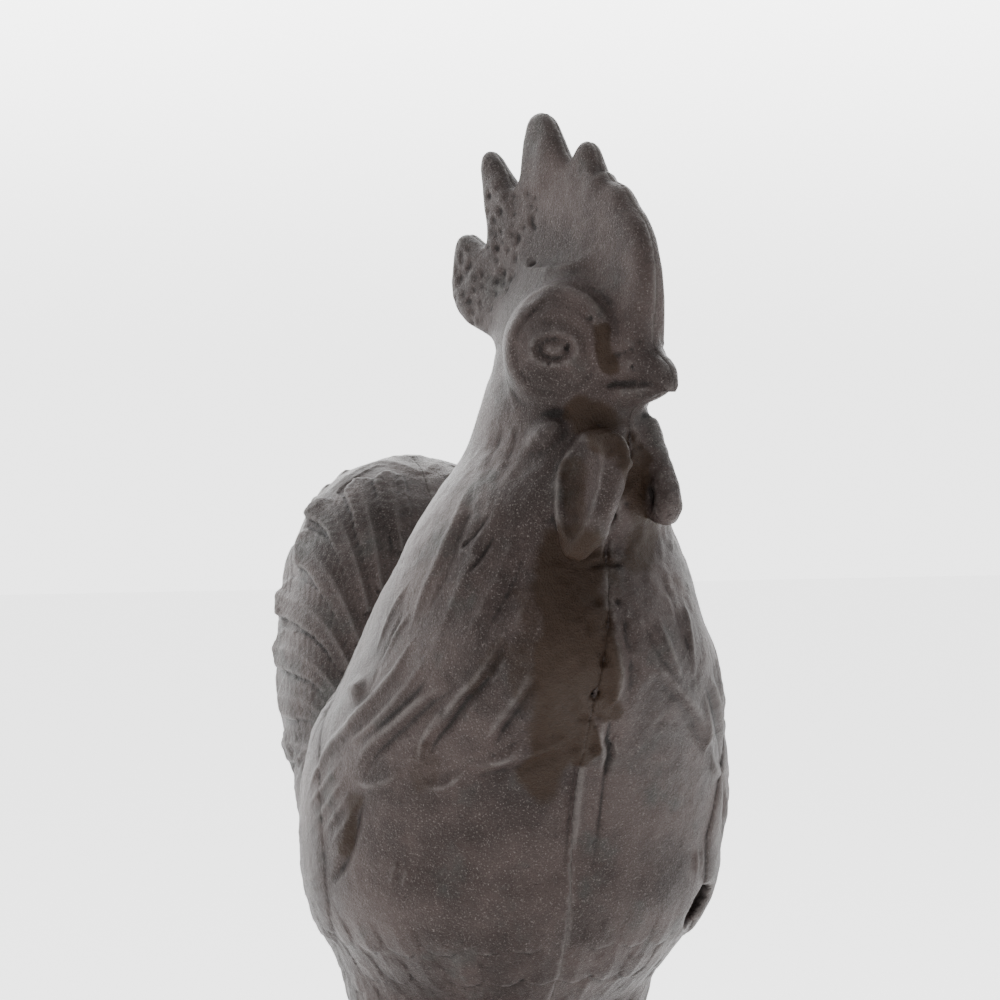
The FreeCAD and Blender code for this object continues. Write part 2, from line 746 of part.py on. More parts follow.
def build_toe(name, centre, angle, length_share):
    """One toe of tapered bones, each thicker at its knuckle, lying on the plate."""
    heading = FreeCAD.Rotation(UP, angle)
    length = length_share * size("toe_length")
    pieces = []
    for index, (start, end, root, tip) in enumerate(TOE_BONE_SHARES):
        bone = doc.addObject("Part::Cone", "%sBone%d" % (name, index))
        bind(bone, Radius1="Sizes.toe_radius * %g" % root, Radius2="Sizes.toe_radius * %g" % tip)
        bind(bone, Height="Sizes.toe_length * %g" % ((end - start) * length_share))
        spot = centre + heading.multVec(FreeCAD.Vector(0, -start * length, 0))
        bone.Placement = FreeCAD.Placement(spot, heading.multiply(FreeCAD.Rotation(ACROSS, QUARTER_TURN)))
        pieces.append(bone)
    return pieces


def build_leg(side_name, side):
    """A leg casting: collar, shank, spur, toes, the stud into the thigh and the peg into the plate."""
    centre = FreeCAD.Vector(side * size("leg_spread") / 2, size("leg_back"), 0)
    floor = size("plate_thickness")
    rise = size("thigh_foot_height") - size("joint_gap") - floor
    rings = []
    for share, radius in LEG_RING_SHARES:
        level = FreeCAD.Vector(0, 0, floor + share * rise)
        rings.append(ring(centre + level, radius * size("shank_radius"), radius * size("shank_radius")))
    pieces = [form(side_name + "Shank", rings)]
    sole = centre + FreeCAD.Vector(0, 0, floor + size("toe_radius") / 2)
    for toe_name, (turn_share, length_share) in TOE_TURN_SHARES.items():
        angle = turn_share * size("toe_spread") * side
        pieces.extend(build_toe(side_name + toe_name, sole, angle, length_share))
    spur_foot = centre + FreeCAD.Vector(0, 0, floor + rise * SPUR_FOOT_SHARE)
    inward, back, upward = SPUR_TIP_SHARES
    spur_tip = spur_foot + FreeCAD.Vector(side * inward, back, upward) * size("spur_length")
    spur_middle = (spur_foot + spur_tip) / 2
    spur = vane(
        side_name + "Spur", spur_foot, spur_middle, spur_tip,
        size("shank_radius"), size("shank_radius"), SPUR_TAPER_SHARES, small_ring,
    )
    pieces.append(spur)
    stud_foot = "Sizes.thigh_foot_height - Sizes.overrun / 2"
    stud_top = "Sizes.leg_boss_height + Sizes.nut_height + Sizes.overrun / 2"
    stud = cylinder(
        side_name + "Stud", "Sizes.stud_radius", "%s - (%s)" % (stud_top, stud_foot),
        x="Sizes.leg_spread / 2 * %d" % side, y="Sizes.leg_back", z=stud_foot,
    )
    pieces.append(stud)
    casting = fused(side_name + "LegCasting", pieces)
    ground = doc.addObject("Part::Box", side_name + "Ground")
    bind(ground, Length="Sizes.plate_length", Width="Sizes.plate_length * 2", Height="Sizes.plate_thickness")
    bind(ground, Placement__Base__x="-Sizes.plate_length / 2 + Sizes.leg_spread / 2 * %d" % side)
    bind(ground, Placement__Base__y="-Sizes.plate_length")
    trimmed = cut(side_name + "LegTrimmed", casting, ground)
    peg = cylinder(
        side_name + "Peg", "Sizes.peg_radius", "Sizes.peg_length + Sizes.toe_radius / 2",
        x="Sizes.leg_spread / 2 * %d" % side, y="Sizes.leg_back - Sizes.peg_forward",
        z="Sizes.plate_thickness - Sizes.peg_length",
    )
    tapped = cylinder(
        side_name + "FootTapping", "Sizes.foot_screw_radius + Sizes.thread_clearance",
        "Sizes.foot_screw_length + Sizes.blind_clearance + Sizes.foot_head_height",
        x="Sizes.leg_spread / 2 * %d" % side, y="Sizes.leg_back",
    )
    return cut(side_name + "Leg", fused(side_name + "LegPegged", [trimmed, peg]), tapped)


for side_name, side in SIDES.items():
    nodes[side_name + "_leg"] = build_leg(side_name, side)


def ring_piece(name, kind, outer, height):
    """A washer or a nut: a disc or a six-sided prism with the stud's hole."""
    body = doc.addObject("PartDesign::Body", name)
    if kind == "washer":
        in_body(body, "AdditiveCylinder", name + "Disc", "0 mm", Radius=outer, Height=height)
    else:
        prism = in_body(body, "AdditivePrism", name + "Prism", "0 mm", Circumradius=outer, Height=height)
        prism.Polygon = 6
    in_body(
        body, "SubtractiveCylinder", name + "Hole", "-(%s) / 2" % height,
        Radius="Sizes.stud_radius + Sizes.thread_clearance", Height="(%s) * 2" % height,
    )
    return body


for side_name, side in SIDES.items():
    seat = "Sizes.leg_boss_height + Sizes.joint_gap"
    washer = ring_piece(side_name + "_leg_washer", "washer", "Sizes.washer_radius", "Sizes.washer_thickness")
    nut = ring_piece(side_name + "_leg_nut", "nut", "Sizes.nut_across_flats / sqrt(3)", "Sizes.nut_height")
    for piece, level in ((washer, seat), (nut, seat + " + Sizes.washer_thickness + Sizes.joint_gap")):
        bind(
            piece, Placement__Base__x="Sizes.leg_spread / 2 * %d" % side,
            Placement__Base__y="Sizes.leg_back", Placement__Base__z=level,
        )
    nodes[side_name + "_leg_washer"] = washer
    nodes[side_name + "_leg_nut"] = nut

    screw = slotted_screw(
        side_name + "_foot_screw", "Sizes.foot_screw_radius", "Sizes.foot_head_radius",
        "Sizes.foot_head_height", "Sizes.foot_screw_length",
    )
    screw.Placement = FreeCAD.Placement(FreeCAD.Vector(0, 0, 0), FreeCAD.Rotation(ACROSS, QUARTER_TURN * 2))
    bind(
        screw, Placement__Base__x="Sizes.leg_spread / 2 * %d" % side, Placement__Base__y="Sizes.leg_back",
        Placement__Base__z="Sizes.foot_head_height + Sizes.head_recess",
    )
    nodes[side_name + "_foot_screw"] = screw


# Steps of the quarter circle that rounds the plate's upper edge.
EDGE_ROUNDING_SHARES = (0.0, 0.35, 0.7, 1.0)


def plate_ring(centre, inset):
    """The plate's oval, drawn in."""
    half_across = size("plate_width") / 2 - inset
    half_deep = size("plate_length") / 2 - inset
    return ring(centre, half_across, half_deep, sides=PLATE_RING_SIDES)


def build_plate():
    """The oval plate with a rounded upper edge, counterbored for the foot screws."""
    middle = FreeCAD.Vector(0, size("plate_back"), 0)
    rings = [plate_ring(middle, 0)]
    for share in EDGE_ROUNDING_SHARES:
        angle = math.radians(QUARTER_TURN * share)
        inset = size("plate_edge_radius") * (1 - math.cos(angle))
        level = size("plate_thickness") - size("plate_edge_radius") * (1 - math.sin(angle))
        rings.append(plate_ring(middle + UP * level, inset))
    slab = form("PlateSlab", rings)
    through = "Sizes.plate_thickness + Sizes.overrun * 2"
    counterbore = "Sizes.overrun + Sizes.foot_head_height + Sizes.head_recess"
    peg_along = "Sizes.leg_back - Sizes.peg_forward"
    peg_low = "Sizes.plate_thickness - Sizes.peg_length - Sizes.running_clearance"
    holes = []
    for side_name, side in SIDES.items():
        spots = (
            ("Screw", "Sizes.foot_screw_radius", "Sizes.leg_back", "-Sizes.overrun", through),
            ("Head", "Sizes.foot_head_radius", "Sizes.leg_back", "-Sizes.overrun", counterbore),
            ("Peg", "Sizes.peg_radius", peg_along, peg_low, "Sizes.plate_thickness"),
        )
        for spot, radius, along, low, height in spots:
            clear = radius + " + Sizes.running_clearance"
            across = "Sizes.leg_spread / 2 * %d" % side
            holes.append(cylinder(side_name + spot + "Hole", clear, height, x=across, y=along, z=low))
    return cut("BasePlate", slab, fused("PlateHoles", holes))


nodes["base_plate"] = build_plate()

doc.recompute()

for thing in doc.Objects:
    if "Invalid" in thing.State or "Error" in thing.State:
        raise RuntimeError("%s failed: %s" % (thing.Name, thing.State))
os.makedirs("parts", exist_ok=True)
for name, thing in nodes.items():
    thing.Label = name
    shape = thing.Shape
    if shape.isNull() or not shape.isValid():
        raise RuntimeError("%s has no valid shape" % name)
for name, thing in nodes.items():
    shape = thing.Shape
    shape.exportStep("parts/%s.step" % name)
    print("%-22s %d solids %9.1f mm3" % (name, len(shape.Solids), shape.Volume))
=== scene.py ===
"""The looks of a cast-iron cockerel: two sculpted half castings, two legs, a plate and their fixings."""

import logging
import math
from dataclasses import dataclass, field, replace
from enum import Enum
from typing import Sequence

import bpy
import numpy as np
import openvdb
from mathutils import Matrix, Vector
from mathutils.bvhtree import BVHTree


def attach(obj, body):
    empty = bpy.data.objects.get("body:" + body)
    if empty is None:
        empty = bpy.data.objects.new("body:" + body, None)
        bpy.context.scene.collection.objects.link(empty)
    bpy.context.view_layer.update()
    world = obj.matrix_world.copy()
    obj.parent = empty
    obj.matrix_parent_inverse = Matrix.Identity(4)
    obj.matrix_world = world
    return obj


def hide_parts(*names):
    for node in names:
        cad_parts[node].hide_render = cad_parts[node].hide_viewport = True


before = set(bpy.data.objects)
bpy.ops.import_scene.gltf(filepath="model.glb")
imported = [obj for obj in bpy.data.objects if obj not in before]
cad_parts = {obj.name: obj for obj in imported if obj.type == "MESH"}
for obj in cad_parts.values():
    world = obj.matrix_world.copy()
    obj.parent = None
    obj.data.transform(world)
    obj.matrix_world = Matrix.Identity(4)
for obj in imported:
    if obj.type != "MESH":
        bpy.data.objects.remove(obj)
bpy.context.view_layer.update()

LOG = logging.getLogger("cockerel")
MILLIMETRE = 0.001
SMALL = 1e-6
TINY = 1e-9
FARTHEST = 1e9
LAST_SHARE = 0.999
LEAST_WIDTH = 1e-3
FLAT_SLOPE = 0.95
WHOLE_TURNS = 1000.0
FINE_ROUNDS = 3
BROAD_ROUNDS = 14
FINE_HOLLOW, BROAD_HOLLOW = (0.02, 0.16), (0.15, 0.9)
FINE_RIDGE, BROAD_RIDGE = (0.03, 0.18), (0.2, 1.0)
BROAD_HIGHLIGHT_SHARE = 0.6
# Flat levels for added forms: no rust, a little painted shade and some painted highlight.
PLAIN_RUST_AND_PAINTED_LIGHT = {"rust": 0.0, "hollow": 0.1, "ridge_highlight": 0.35}
OUTLINE_PIECES = 4
UP = (0.0, 0.0, 1.0)
Points = np.ndarray
Band = tuple[float, float]
Spot = tuple[float, float, float]
Place = Sequence[float]
Box = tuple[Spot, Spot]
Table = tuple[tuple[float, ...], ...]
Material = bpy.types.Material
Socket = bpy.types.NodeSocket


def smoothstep(value: Points, low: float, high: float) -> Points:
    """A soft step of values, from 0 at low to 1 at high."""
    share = np.clip((value - low) / (high - low), 0.0, 1.0)
    return share * share * (3.0 - 2.0 * share)


def smooth_table(places: Place, values: Place, where: Points) -> Points:
    """A smooth curve through a few given values.

    Args:
        places: where the values stand, in rising order.
        values: the values there.
        where: the places to read.

    Returns:
        The curve's value at each place.
    """
    xs = np.asarray(places, float)
    ys = np.asarray(values, float)
    slopes = np.gradient(ys, xs)
    spot = np.clip(where, xs[0], xs[-1])
    left = np.clip(np.searchsorted(xs, spot) - 1, 0, len(xs) - 2)
    step = xs[left + 1] - xs[left]
    share = (spot - xs[left]) / step
    rise = share * share * (3.0 - 2.0 * share)
    lead = share * (1.0 - share) ** 2 * step
    trail = -share * share * (1.0 - share) * step
    return ys[left] * (1.0 - rise) + ys[left + 1] * rise + slopes[left] * lead + slopes[left + 1] * trail


def smooth_curve(points: Sequence[Place], pieces: int) -> Points:
    """A smooth open curve through given points.

    Args:
        points: the points, in two or three axes.
        pieces: how many pieces the curve is divided into.

    Returns:
        The curve's points.
    """
    spots = np.asarray(points, float)
    steps = np.linspace(0.0, len(spots) - 1, pieces + 1)
    knots = list(range(len(spots)))
    columns = [smooth_table(knots, spots[:, axis], steps) for axis in range(spots.shape[1])]
    return np.stack(columns, axis=1)


def smooth_outline(corners: Table) -> Points:
    """A smooth closed outline through given corners, with four points for each."""
    closed = np.array(corners)
    return smooth_curve(np.vstack([closed, closed[:1]]), OUTLINE_PIECES * len(closed))[:-1]


class Grain:
    """Repeatable soft noise in space."""

    def __init__(self, seed: int, cells: int = 32) -> None:
        """Draw the lattice of one noise, which repeats after some cells."""
        self.cells = cells
        self.lattice = np.random.default_rng(seed).uniform(-1.0, 1.0, (cells, cells, cells))

    def at(self, points: Points, wavelength: float) -> Points:
        """Noise from -1 to 1.

        Args:
            points: where it is read.
            wavelength: the distance between its lattice points.

        Returns:
            One value for each point.
        """
        spots = points / wavelength
        cell = np.floor(spots).astype(int)
        share = spots - cell
        share = share * share * (3.0 - 2.0 * share)
        total = np.zeros(len(points))
        for corner in range(8):
            offset = np.array([corner & 1, (corner >> 1) & 1, (corner >> 2) & 1])
            weight = np.prod(np.where(offset, share, 1.0 - share), axis=1)
            index = (cell + offset) % self.cells
            total += weight * self.lattice[index[:, 0], index[:, 1], index[:, 2]]
        return total

    def layered(self, points: Points, layers: Table) -> Points:
        """Noise of several sizes, each with a strength, a wavelength and an offset."""
        return sum(strength * self.at(points + offset, wavelength) for strength, wavelength, offset in layers)


@dataclass(frozen=True)
class HeadTurn:
    """How the neck turns the head: nothing at its foot, the whole turn from the throat up."""

    degrees: float = 22.0
    axis_y: float = -38.0
    heights: tuple[float, ...] = (230.0, 240.0, 252.0, 264.0, 276.0, 288.0, 300.0, 315.0, 330.0)
    shares: tuple[float, ...] = (0.0, 0.05, 0.14, 0.27, 0.45, 0.64, 0.82, 0.95, 1.0)
    fade_start_y: float = 42.0
    fade_end_y: float = 62.0

    def angle(self, levels: Points, along: Points) -> Points:
        """How far the neck has turned at a level, in radians: the turn fades out behind it."""
        fade = 1.0 - smoothstep(along, self.fade_start_y, self.fade_end_y)
        return np.radians(self.degrees) * (smooth_table(self.heights, self.shares, levels) * fade)

    def spun(self, points: Points, angle: Points) -> Points:
        """Points spun round the neck's axis.

        Args:
            points: the points.
            angle: how far each of them is spun, in radians.

        Returns:
            The points after the spin.
        """
        cosine, sine = np.cos(angle), np.sin(angle)
        across, along = points[:, 0], points[:, 1] - self.axis_y
        moved = points.copy()
        moved[:, 0] = across * cosine - along * sine
        moved[:, 1] = self.axis_y + across * sine + along * cosine
        return moved

    def turned(self, points: Points) -> Points:
        """Points of the straight figure, moved to where the turned neck has them."""
        return self.spun(points, self.angle(points[:, 2], points[:, 1]))

    def straightened(self, points: Points) -> Points:
        """Points of the turned figure, moved back to where the straight one has them.

        Args:
            points: the turned figure's points.

        Returns:
            The straight figure's points, found in a few rounds since the turn fades along Y.
        """
        moved = points
        for _round in range(3):
            moved = self.spun(points, -self.angle(points[:, 2], moved[:, 1]))
        return moved


@dataclass(frozen=True)
class PhotoCamera:
    """The camera of the photograph, with pixels of its 1000 by 1000 frame."""

    place: Spot = (-308.8, -936.3, 319.3)
    azimuth: float = -18.0
    elevation: float = 2.0
    focal_pixels: float = 3209.5
    image_pixels: float = 1000.0
    sensor: float = 36.0
    near_clip: float = 0.05

    def axes(self) -> tuple[Points, Points, Points]:
        """The camera's directions.

        Returns:
            Its forward, right and up direction.
        """
        turn, tilt = math.radians(-self.azimuth), math.radians(self.elevation)
        level = math.cos(tilt)
        forward = np.array([math.sin(turn) * level, math.cos(turn) * level, -math.sin(tilt)])
        right = np.array([math.cos(turn), -math.sin(turn), 0.0])
        return forward, right, np.cross(right, forward)

    def ray(self, column: float, row: float) -> Vector:
        """The direction in which a pixel looks.

        Args:
            column: the pixel's column.
            row: its row.

        Returns:
            A direction of length 1.
        """
        forward, right, up = self.axes()
        centre = self.image_pixels / 2
        sideways = right * (column - centre) + up * (centre - row)
        return Vector(forward * self.focal_pixels + sideways).normalized()

    def pixels(self, points: Points) -> Points:
        """The pixels at which points show.

        Args:
            points: the points in millimetres.

        Returns:
            A column and a row for each point.
        """
        forward, right, up = self.axes()
        offset = points - np.array(self.place)
        depth = offset @ forward
        centre = self.image_pixels / 2
        column = centre + self.focal_pixels * (offset @ right) / depth
        row = centre - self.focal_pixels * (offset @ up) / depth
        return np.stack([column, row], axis=1)

    def build(self) -> bpy.types.Object:
        """Make the camera and let the scene look through it.

        Returns:
            The camera.
        """
        lens = bpy.data.cameras.new("photo_camera")
        lens.sensor_width = self.sensor
        lens.lens = self.sensor * self.focal_pixels / self.image_pixels
        lens.clip_start = self.near_clip
        camera = bpy.data.objects.new("photo_camera", lens)
        bpy.context.scene.collection.objects.link(camera)
        camera.location = Vector(self.place) * MILLIMETRE
        forward = Vector(self.axes()[0])
        camera.rotation_euler = forward.to_track_quat("-Z", "Y").to_euler()
        bpy.context.scene.camera = camera
        return camera


@dataclass(frozen=True)
class Window:
    """A box of a solid's grid: its slices, and its three axes, shaped so that they spread over it."""

    slices: tuple[slice, ...]
    x: Points
    y: Points
    z: Points


class SolidGrid:
    """A solid held as distances on a box of grid points: below nothing inside."""

    def __init__(self, low: Place, high: Place, pitch: float) -> None:
        """Start with an empty box.

        Args:
            low: its lowest corner.
            high: its highest corner.
            pitch: the distance between grid points.
        """
        self.low = np.asarray(low, float)
        self.pitch = pitch
        self.count = np.ceil((np.asarray(high, float) - self.low) / pitch).astype(int) + 1
        self.far = 12.0
        self.distance = np.full(tuple(self.count), self.far, np.float32)

    def window(self, low: Place, high: Place) -> Window:
        """The part of the grid inside a box.

        Args:
            low: the box's lowest corner.
            high: its highest corner.

        Returns:
            That part.
        """
        last = self.count
        start = np.clip(np.floor((np.asarray(low) - self.low) / self.pitch).astype(int), 0, last - 1)
        stop = np.clip(np.ceil((np.asarray(high) - self.low) / self.pitch).astype(int) + 1, 1, last)
        slices = tuple(slice(a, b) for a, b in zip(start, stop))
        axes = []
        for axis in range(3):
            line = self.low[axis] + self.pitch * np.arange(start[axis], stop[axis])
            shape = [1, 1, 1]
            shape[axis] = -1
            axes.append(line.reshape(shape).astype(np.float32))
        return Window(slices, *axes)

    def whole(self) -> Window:
        """The whole grid."""
        return self.window(self.low, self.low + self.pitch * self.count)

    @staticmethod
    def fillet(difference: Points, blend: float) -> Points:
        """What a fillet of a width adds where two distances nearly agree, from their difference."""
        nearness = np.maximum(blend - np.abs(difference), 0.0) / max(blend, SMALL)
        return nearness * nearness * blend / 4.0

    def add(self, window: Window, shape: Points, blend: float) -> None:
        """Join the shape of a distance on in a window, with a fillet as wide as the blend."""
        old, new = self.distance[window.slices], np.minimum(shape, self.far)
        self.distance[window.slices] = np.minimum(old, new) - self.fillet(old - new, blend)

    def carve(self, window: Window, shape: Points, blend: float) -> None:
        """Take the shape of a distance away in a window, with edges as soft as the blend."""
        old, new = self.distance[window.slices], -shape
        self.distance[window.slices] = np.maximum(old, new) + self.fillet(old - new, blend)

    def surface(self) -> tuple[Points, Points]:
        """The solid's surface.

        Returns:
            Its points, and its faces of four corners that face outward.
        """
        grid = openvdb.FloatGrid(self.far)
        grid.copyFromArray(self.distance)
        points, _triangles, quads = grid.convertToPolygons(isovalue=0.0, adaptivity=0.0)
        return np.asarray(points, float) * self.pitch + self.low, np.asarray(quads, int)


def oval_distance(across: Points, along: Points, half_width: Points, half_depth: Points) -> Points:
    """Distance to an oval, whose size may change from place to place.

    Args:
        across: how far each place lies from its middle in its width.
        along: the same in its depth.
        half_width: half its width.
        half_depth: half its depth.

    Returns:
        The distance at each place.
    """
    u, v = across / half_width, along / half_depth
    near = np.sqrt(u * u + v * v)
    steep = np.sqrt((u / half_width) ** 2 + (v / half_depth) ** 2) + SMALL
    return near * (near - 1.0) / steep


def read_levels(table: Points, where: Points) -> list[Points]:
    """The sizes of a form that is given level by level, read anywhere between the levels.

    Args:
        table: a row for each level, which starts with its place.
        where: the places to read.

    Returns:
        The values of each further column, in the shape of the places.
    """
    line = where.ravel()
    columns = range(1, table.shape[1])
    return [smooth_table(table[:, 0], table[:, axis], line).reshape(where.shape) for axis in columns]


def capped(side: Points, where: Points, table: Points) -> Points:
    """A form of levels along one axis, cut off flat at its first and last level."""
    return np.maximum(side, np.maximum(where - table[-1, 0], table[0, 0] - where))


def rounded_rim(inside: Points, rim: float) -> Points:
    """How thick a plate with a rounded rim is, as a share, at a depth inside its outline."""
    return np.sqrt(1.0 - (1.0 - np.clip(inside / rim, 0.0, 1.0)) ** 2)


def spread_plane(values: Points) -> Points:
    """Values of a plane along Y and Z, shaped so that they spread over a window."""
    return values[None, :, :].astype(np.float32)


def outline_distance(outline: Points, across: Points, up: Points) -> Points:
    """Distance to a closed outline in a plane: above nothing inside.

    Args:
        outline: its corners in order.
        across: the first coordinates.
        up: the second coordinates, of the same shape.

    Returns:
        The distance at each place.
    """
    best = np.full(across.shape, FARTHEST)
    inside = np.zeros(across.shape, bool)
    for start, end in zip(outline, np.roll(outline, -1, axis=0)):
        run, rise = end - start
        share = ((across - start[0]) * run + (up - start[1]) * rise) / (run * run + rise * rise + TINY)
        share = np.clip(share, 0.0, 1.0)
        gap = (across - start[0] - share * run) ** 2 + (up - start[1] - share * rise) ** 2
        best = np.minimum(best, gap)
        crosses = (start[1] > up) != (end[1] > up)
        if rise != 0.0:
            inside ^= crosses & (across < start[0] + (up - start[1]) * run / rise)
    return np.where(inside, 1.0, -1.0) * np.sqrt(best)


@dataclass(frozen=True)
class Trunk:
    """Neck, breast and belly: height, front, back and half width of each level, in millimetres."""

    levels: Table = (
        (110.0, 4.0, 30.0, 9.0), (116.0, -6.0, 40.0, 18.0), (124.0, -16.0, 54.0, 30.0),
        (135.0, -32.0, 68.0, 42.0), (150.0, -45.0, 78.0, 54.0), (166.0, -52.0, 80.0, 61.0),
        (180.0, -53.6, 78.0, 62.8), (192.0, -56.0, 76.0, 63.2), (204.0, -59.5, 73.0, 62.4),
        (216.0, -65.3, 70.0, 60.3), (228.0, -72.8, 60.0, 56.4), (240.0, -79.2, 49.0, 52.5),
        (252.0, -79.5, 35.0, 48.0), (264.0, -73.9, 17.0, 44.5), (276.0, -70.4, 9.0, 39.0),
        (288.0, -73.6, 3.2, 31.5), (300.0, -75.2, -4.0, 22.9), (315.0, -71.2, -13.0, 20.0),
        (330.0, -69.9, -17.9, 17.0), (344.0, -65.6, -20.0, 13.7), (354.0, -56.0, -29.0, 8.0),
    )
    egg: float = 0.15
    egg_start: Band = (120.0, 165.0)
    egg_end: Band = (225.0, 262.0)
    box: Box = ((-75.0, -95.0, 102.0), (10.0, 95.0, 362.0))

    def add_to(self, solid: SolidGrid) -> None:
        """Add the trunk. Each level is an oval that narrows rearwards where the wings lie.

        Args:
            solid: the straight half.
        """
        window, table = solid.window(*self.box), np.array(self.levels)
        front, back, half_width = read_levels(table, window.z)
        centre, half_depth = ((front + back) / 2).astype(np.float32), ((back - front) / 2).astype(np.float32)
        narrowing = smoothstep(window.z, *self.egg_start) * (1.0 - smoothstep(window.z, *self.egg_end))
        rearward = np.clip((window.y - centre) / half_depth, -1.0, 1.0)
        half_width = half_width.astype(np.float32) * (1.0 - self.egg * narrowing * rearward)
        flank = oval_distance(window.x, window.y - centre, half_width, half_depth)
        solid.add(window, capped(flank, window.z, table), 0.0)


@dataclass(frozen=True)
class Comb:
    """The comb: a thin blade with a bevelled rim, drawn forward of the neck's axis, and up."""

    outline: Table = (
        (41.4, 331.0), (43.1, 337.0), (44.3, 348.8), (42.9, 359.0), (40.6, 364.8), (37.8, 369.0),
        (34.4, 372.6), (31.6, 376.2), (28.6, 378.2), (25.6, 379.2), (23.4, 381.6), (21.2, 382.4),
        (20.2, 385.6), (18.2, 389.4), (15.4, 391.2), (12.8, 390.2), (10.6, 387.4), (8.4, 385.4),
        (5.4, 388.4), (2.6, 393.6), (-0.8, 398.8), (-4.8, 400.7), (-8.8, 399.8), (-11.2, 395.8),
        (-12.5, 389.0), (-13.5, 382.6), (-15.6, 379.4), (-18.2, 379.8), (-21.4, 383.8), (-25.2, 388.8),
        (-28.4, 390.9), (-31.2, 389.6), (-31.8, 385.0), (-30.4, 377.0), (-28.8, 368.6), (-28.6, 363.2),
        (-31.0, 362.2), (-35.0, 364.2), (-39.2, 366.2), (-42.4, 364.4), (-44.4, 357.6), (-44.4, 349.6),
        (-41.2, 343.2), (-35.4, 338.6), (-26.0, 335.0), (-14.0, 330.0), (0.0, 326.0), (25.0, 325.0),
    )
    half_thickness: float = 4.6
    root_half_thickness: float = 8.0
    root_start: float = 358.0
    root_end: float = 326.0
    points_start: float = 366.0
    points_end: float = 402.0
    points_thinning: float = 0.28
    edge_share: float = 0.45
    rim: float = 5.5
    soft_edge: float = 2.2
    blend: float = 7.0
    box: Box = ((-14.0, -92.0, 320.0), (4.0, 10.0, 408.0))

    def add_to(self, solid: SolidGrid, turn: HeadTurn) -> None:
        """Add the comb.

        Args:
            solid: the straight half.
            turn: the head's turn, for the neck's axis.
        """
        window = solid.window(*self.box)
        forward, up = np.meshgrid(turn.axis_y - window.y.ravel(), window.z.ravel(), indexing="ij")
        inside = outline_distance(smooth_outline(self.outline), forward, up)
        swelling = smoothstep(-up, -self.root_start, -self.root_end)
        thick = self.half_thickness + (self.root_half_thickness - self.half_thickness) * swelling
        thick = thick * (1.0 - self.points_thinning * smoothstep(up, self.points_start, self.points_end))
        bevel = self.edge_share + (1.0 - self.edge_share) * rounded_rim(inside, self.rim)
        face = np.abs(window.x) - spread_plane(thick * bevel)
        edge = spread_plane(-inside)
        blade = np.maximum(face, edge) + solid.fillet(face - edge, self.soft_edge)
        solid.add(window, blade, self.blend)


@dataclass(frozen=True)
class EyeDisc:
    """The round disc round the eye: distance from its middle, and height of its ringed face."""

    forward: float = 19.5
    outward: float = 14.2
    height: float = 330.5
    splay: float = 30.0
    reach: float = 21.2
    rings: Table = (
        (0.0, 7.0), (1.6, 6.9), (2.6, 6.3), (3.4, 5.9), (4.4, 6.4), (5.8, 7.0), (7.0, 6.5), (8.2, 5.6),
        (10.0, 5.2), (11.6, 4.7), (12.8, 4.0), (14.0, 4.1), (15.4, 3.5), (16.8, 2.1), (18.2, -0.2),
        (19.6, -3.6),
    )
    oval_share: float = 0.20
    oval_start: float = 5.0
    oval_end: float = 11.0
    slope: float = 0.9
    blend: float = 4.0

    def add_to(self, solid: SolidGrid, turn: HeadTurn) -> None:
        """Add the disc.

        Args:
            solid: the straight half.
            turn: the head's turn, for the neck's axis.
        """
        angle = math.radians(self.splay)
        cosine, sine = math.cos(angle), math.sin(angle)
        centre = np.array([-self.outward, turn.axis_y - self.forward, self.height])
        window = solid.window(centre - self.reach, centre + self.reach)
        dx, dy, dz = window.x - centre[0], window.y - centre[1], window.z - centre[2]
        rise, lead = -dx * cosine - dy * sine, dx * sine - dy * cosine
        away = np.sqrt(lead * lead + dz * dz)
        squeeze = 1.0 - self.oval_share * (1.0 - smoothstep(away, self.oval_start, self.oval_end))
        oval = np.sqrt((lead * squeeze) ** 2 + (dz / squeeze) ** 2)
        places, heights = zip(*self.rings)
        face = smooth_table(places, heights, oval)
        solid.add(window, np.maximum((rise - face) * self.slope, away - places[-1]), self.blend)


@dataclass(frozen=True)
class Beak:
    """The closed beak: forward of the neck's axis, middle height, half width and half depth of each level."""

    upper: Table = (
        (14.0, 326.0, 11.0, 9.0), (26.0, 325.3, 10.4, 8.0), (33.0, 325.6, 9.2, 6.6),
        (39.0, 325.6, 7.4, 5.6), (44.0, 324.8, 5.6, 5.0), (48.0, 323.2, 4.0, 4.3),
        (51.0, 321.4, 2.4, 3.1), (52.8, 319.8, 0.9, 1.5),
    )
    lower: Table = (
        (14.0, 316.0, 9.4, 7.4), (28.0, 316.9, 8.6, 5.6), (36.0, 317.8, 7.0, 4.4),
        (42.0, 318.7, 5.2, 3.3), (47.0, 319.4, 3.2, 2.2), (49.8, 319.6, 1.4, 1.1),
    )
    upper_blend: float = 1.0
    lower_blend: float = 5.0
    box: Box = ((-18.0, -102.0, 300.0), (4.0, -46.0, 342.0))

    def add_to(self, solid: SolidGrid, turn: HeadTurn) -> None:
        """Add both halves of the beak.

        Args:
            solid: the straight half.
            turn: the head's turn, for the neck's axis.
        """
        window = solid.window(*self.box)
        forward = turn.axis_y - window.y
        for levels, blend in ((self.lower, self.lower_blend), (self.upper, self.upper_blend)):
            table = np.array(levels)
            middle, half_width, half_depth = read_levels(table, forward)
            side = oval_distance(window.x, window.z - middle, half_width, half_depth)
            solid.add(window, capped(side, forward, table), blend)


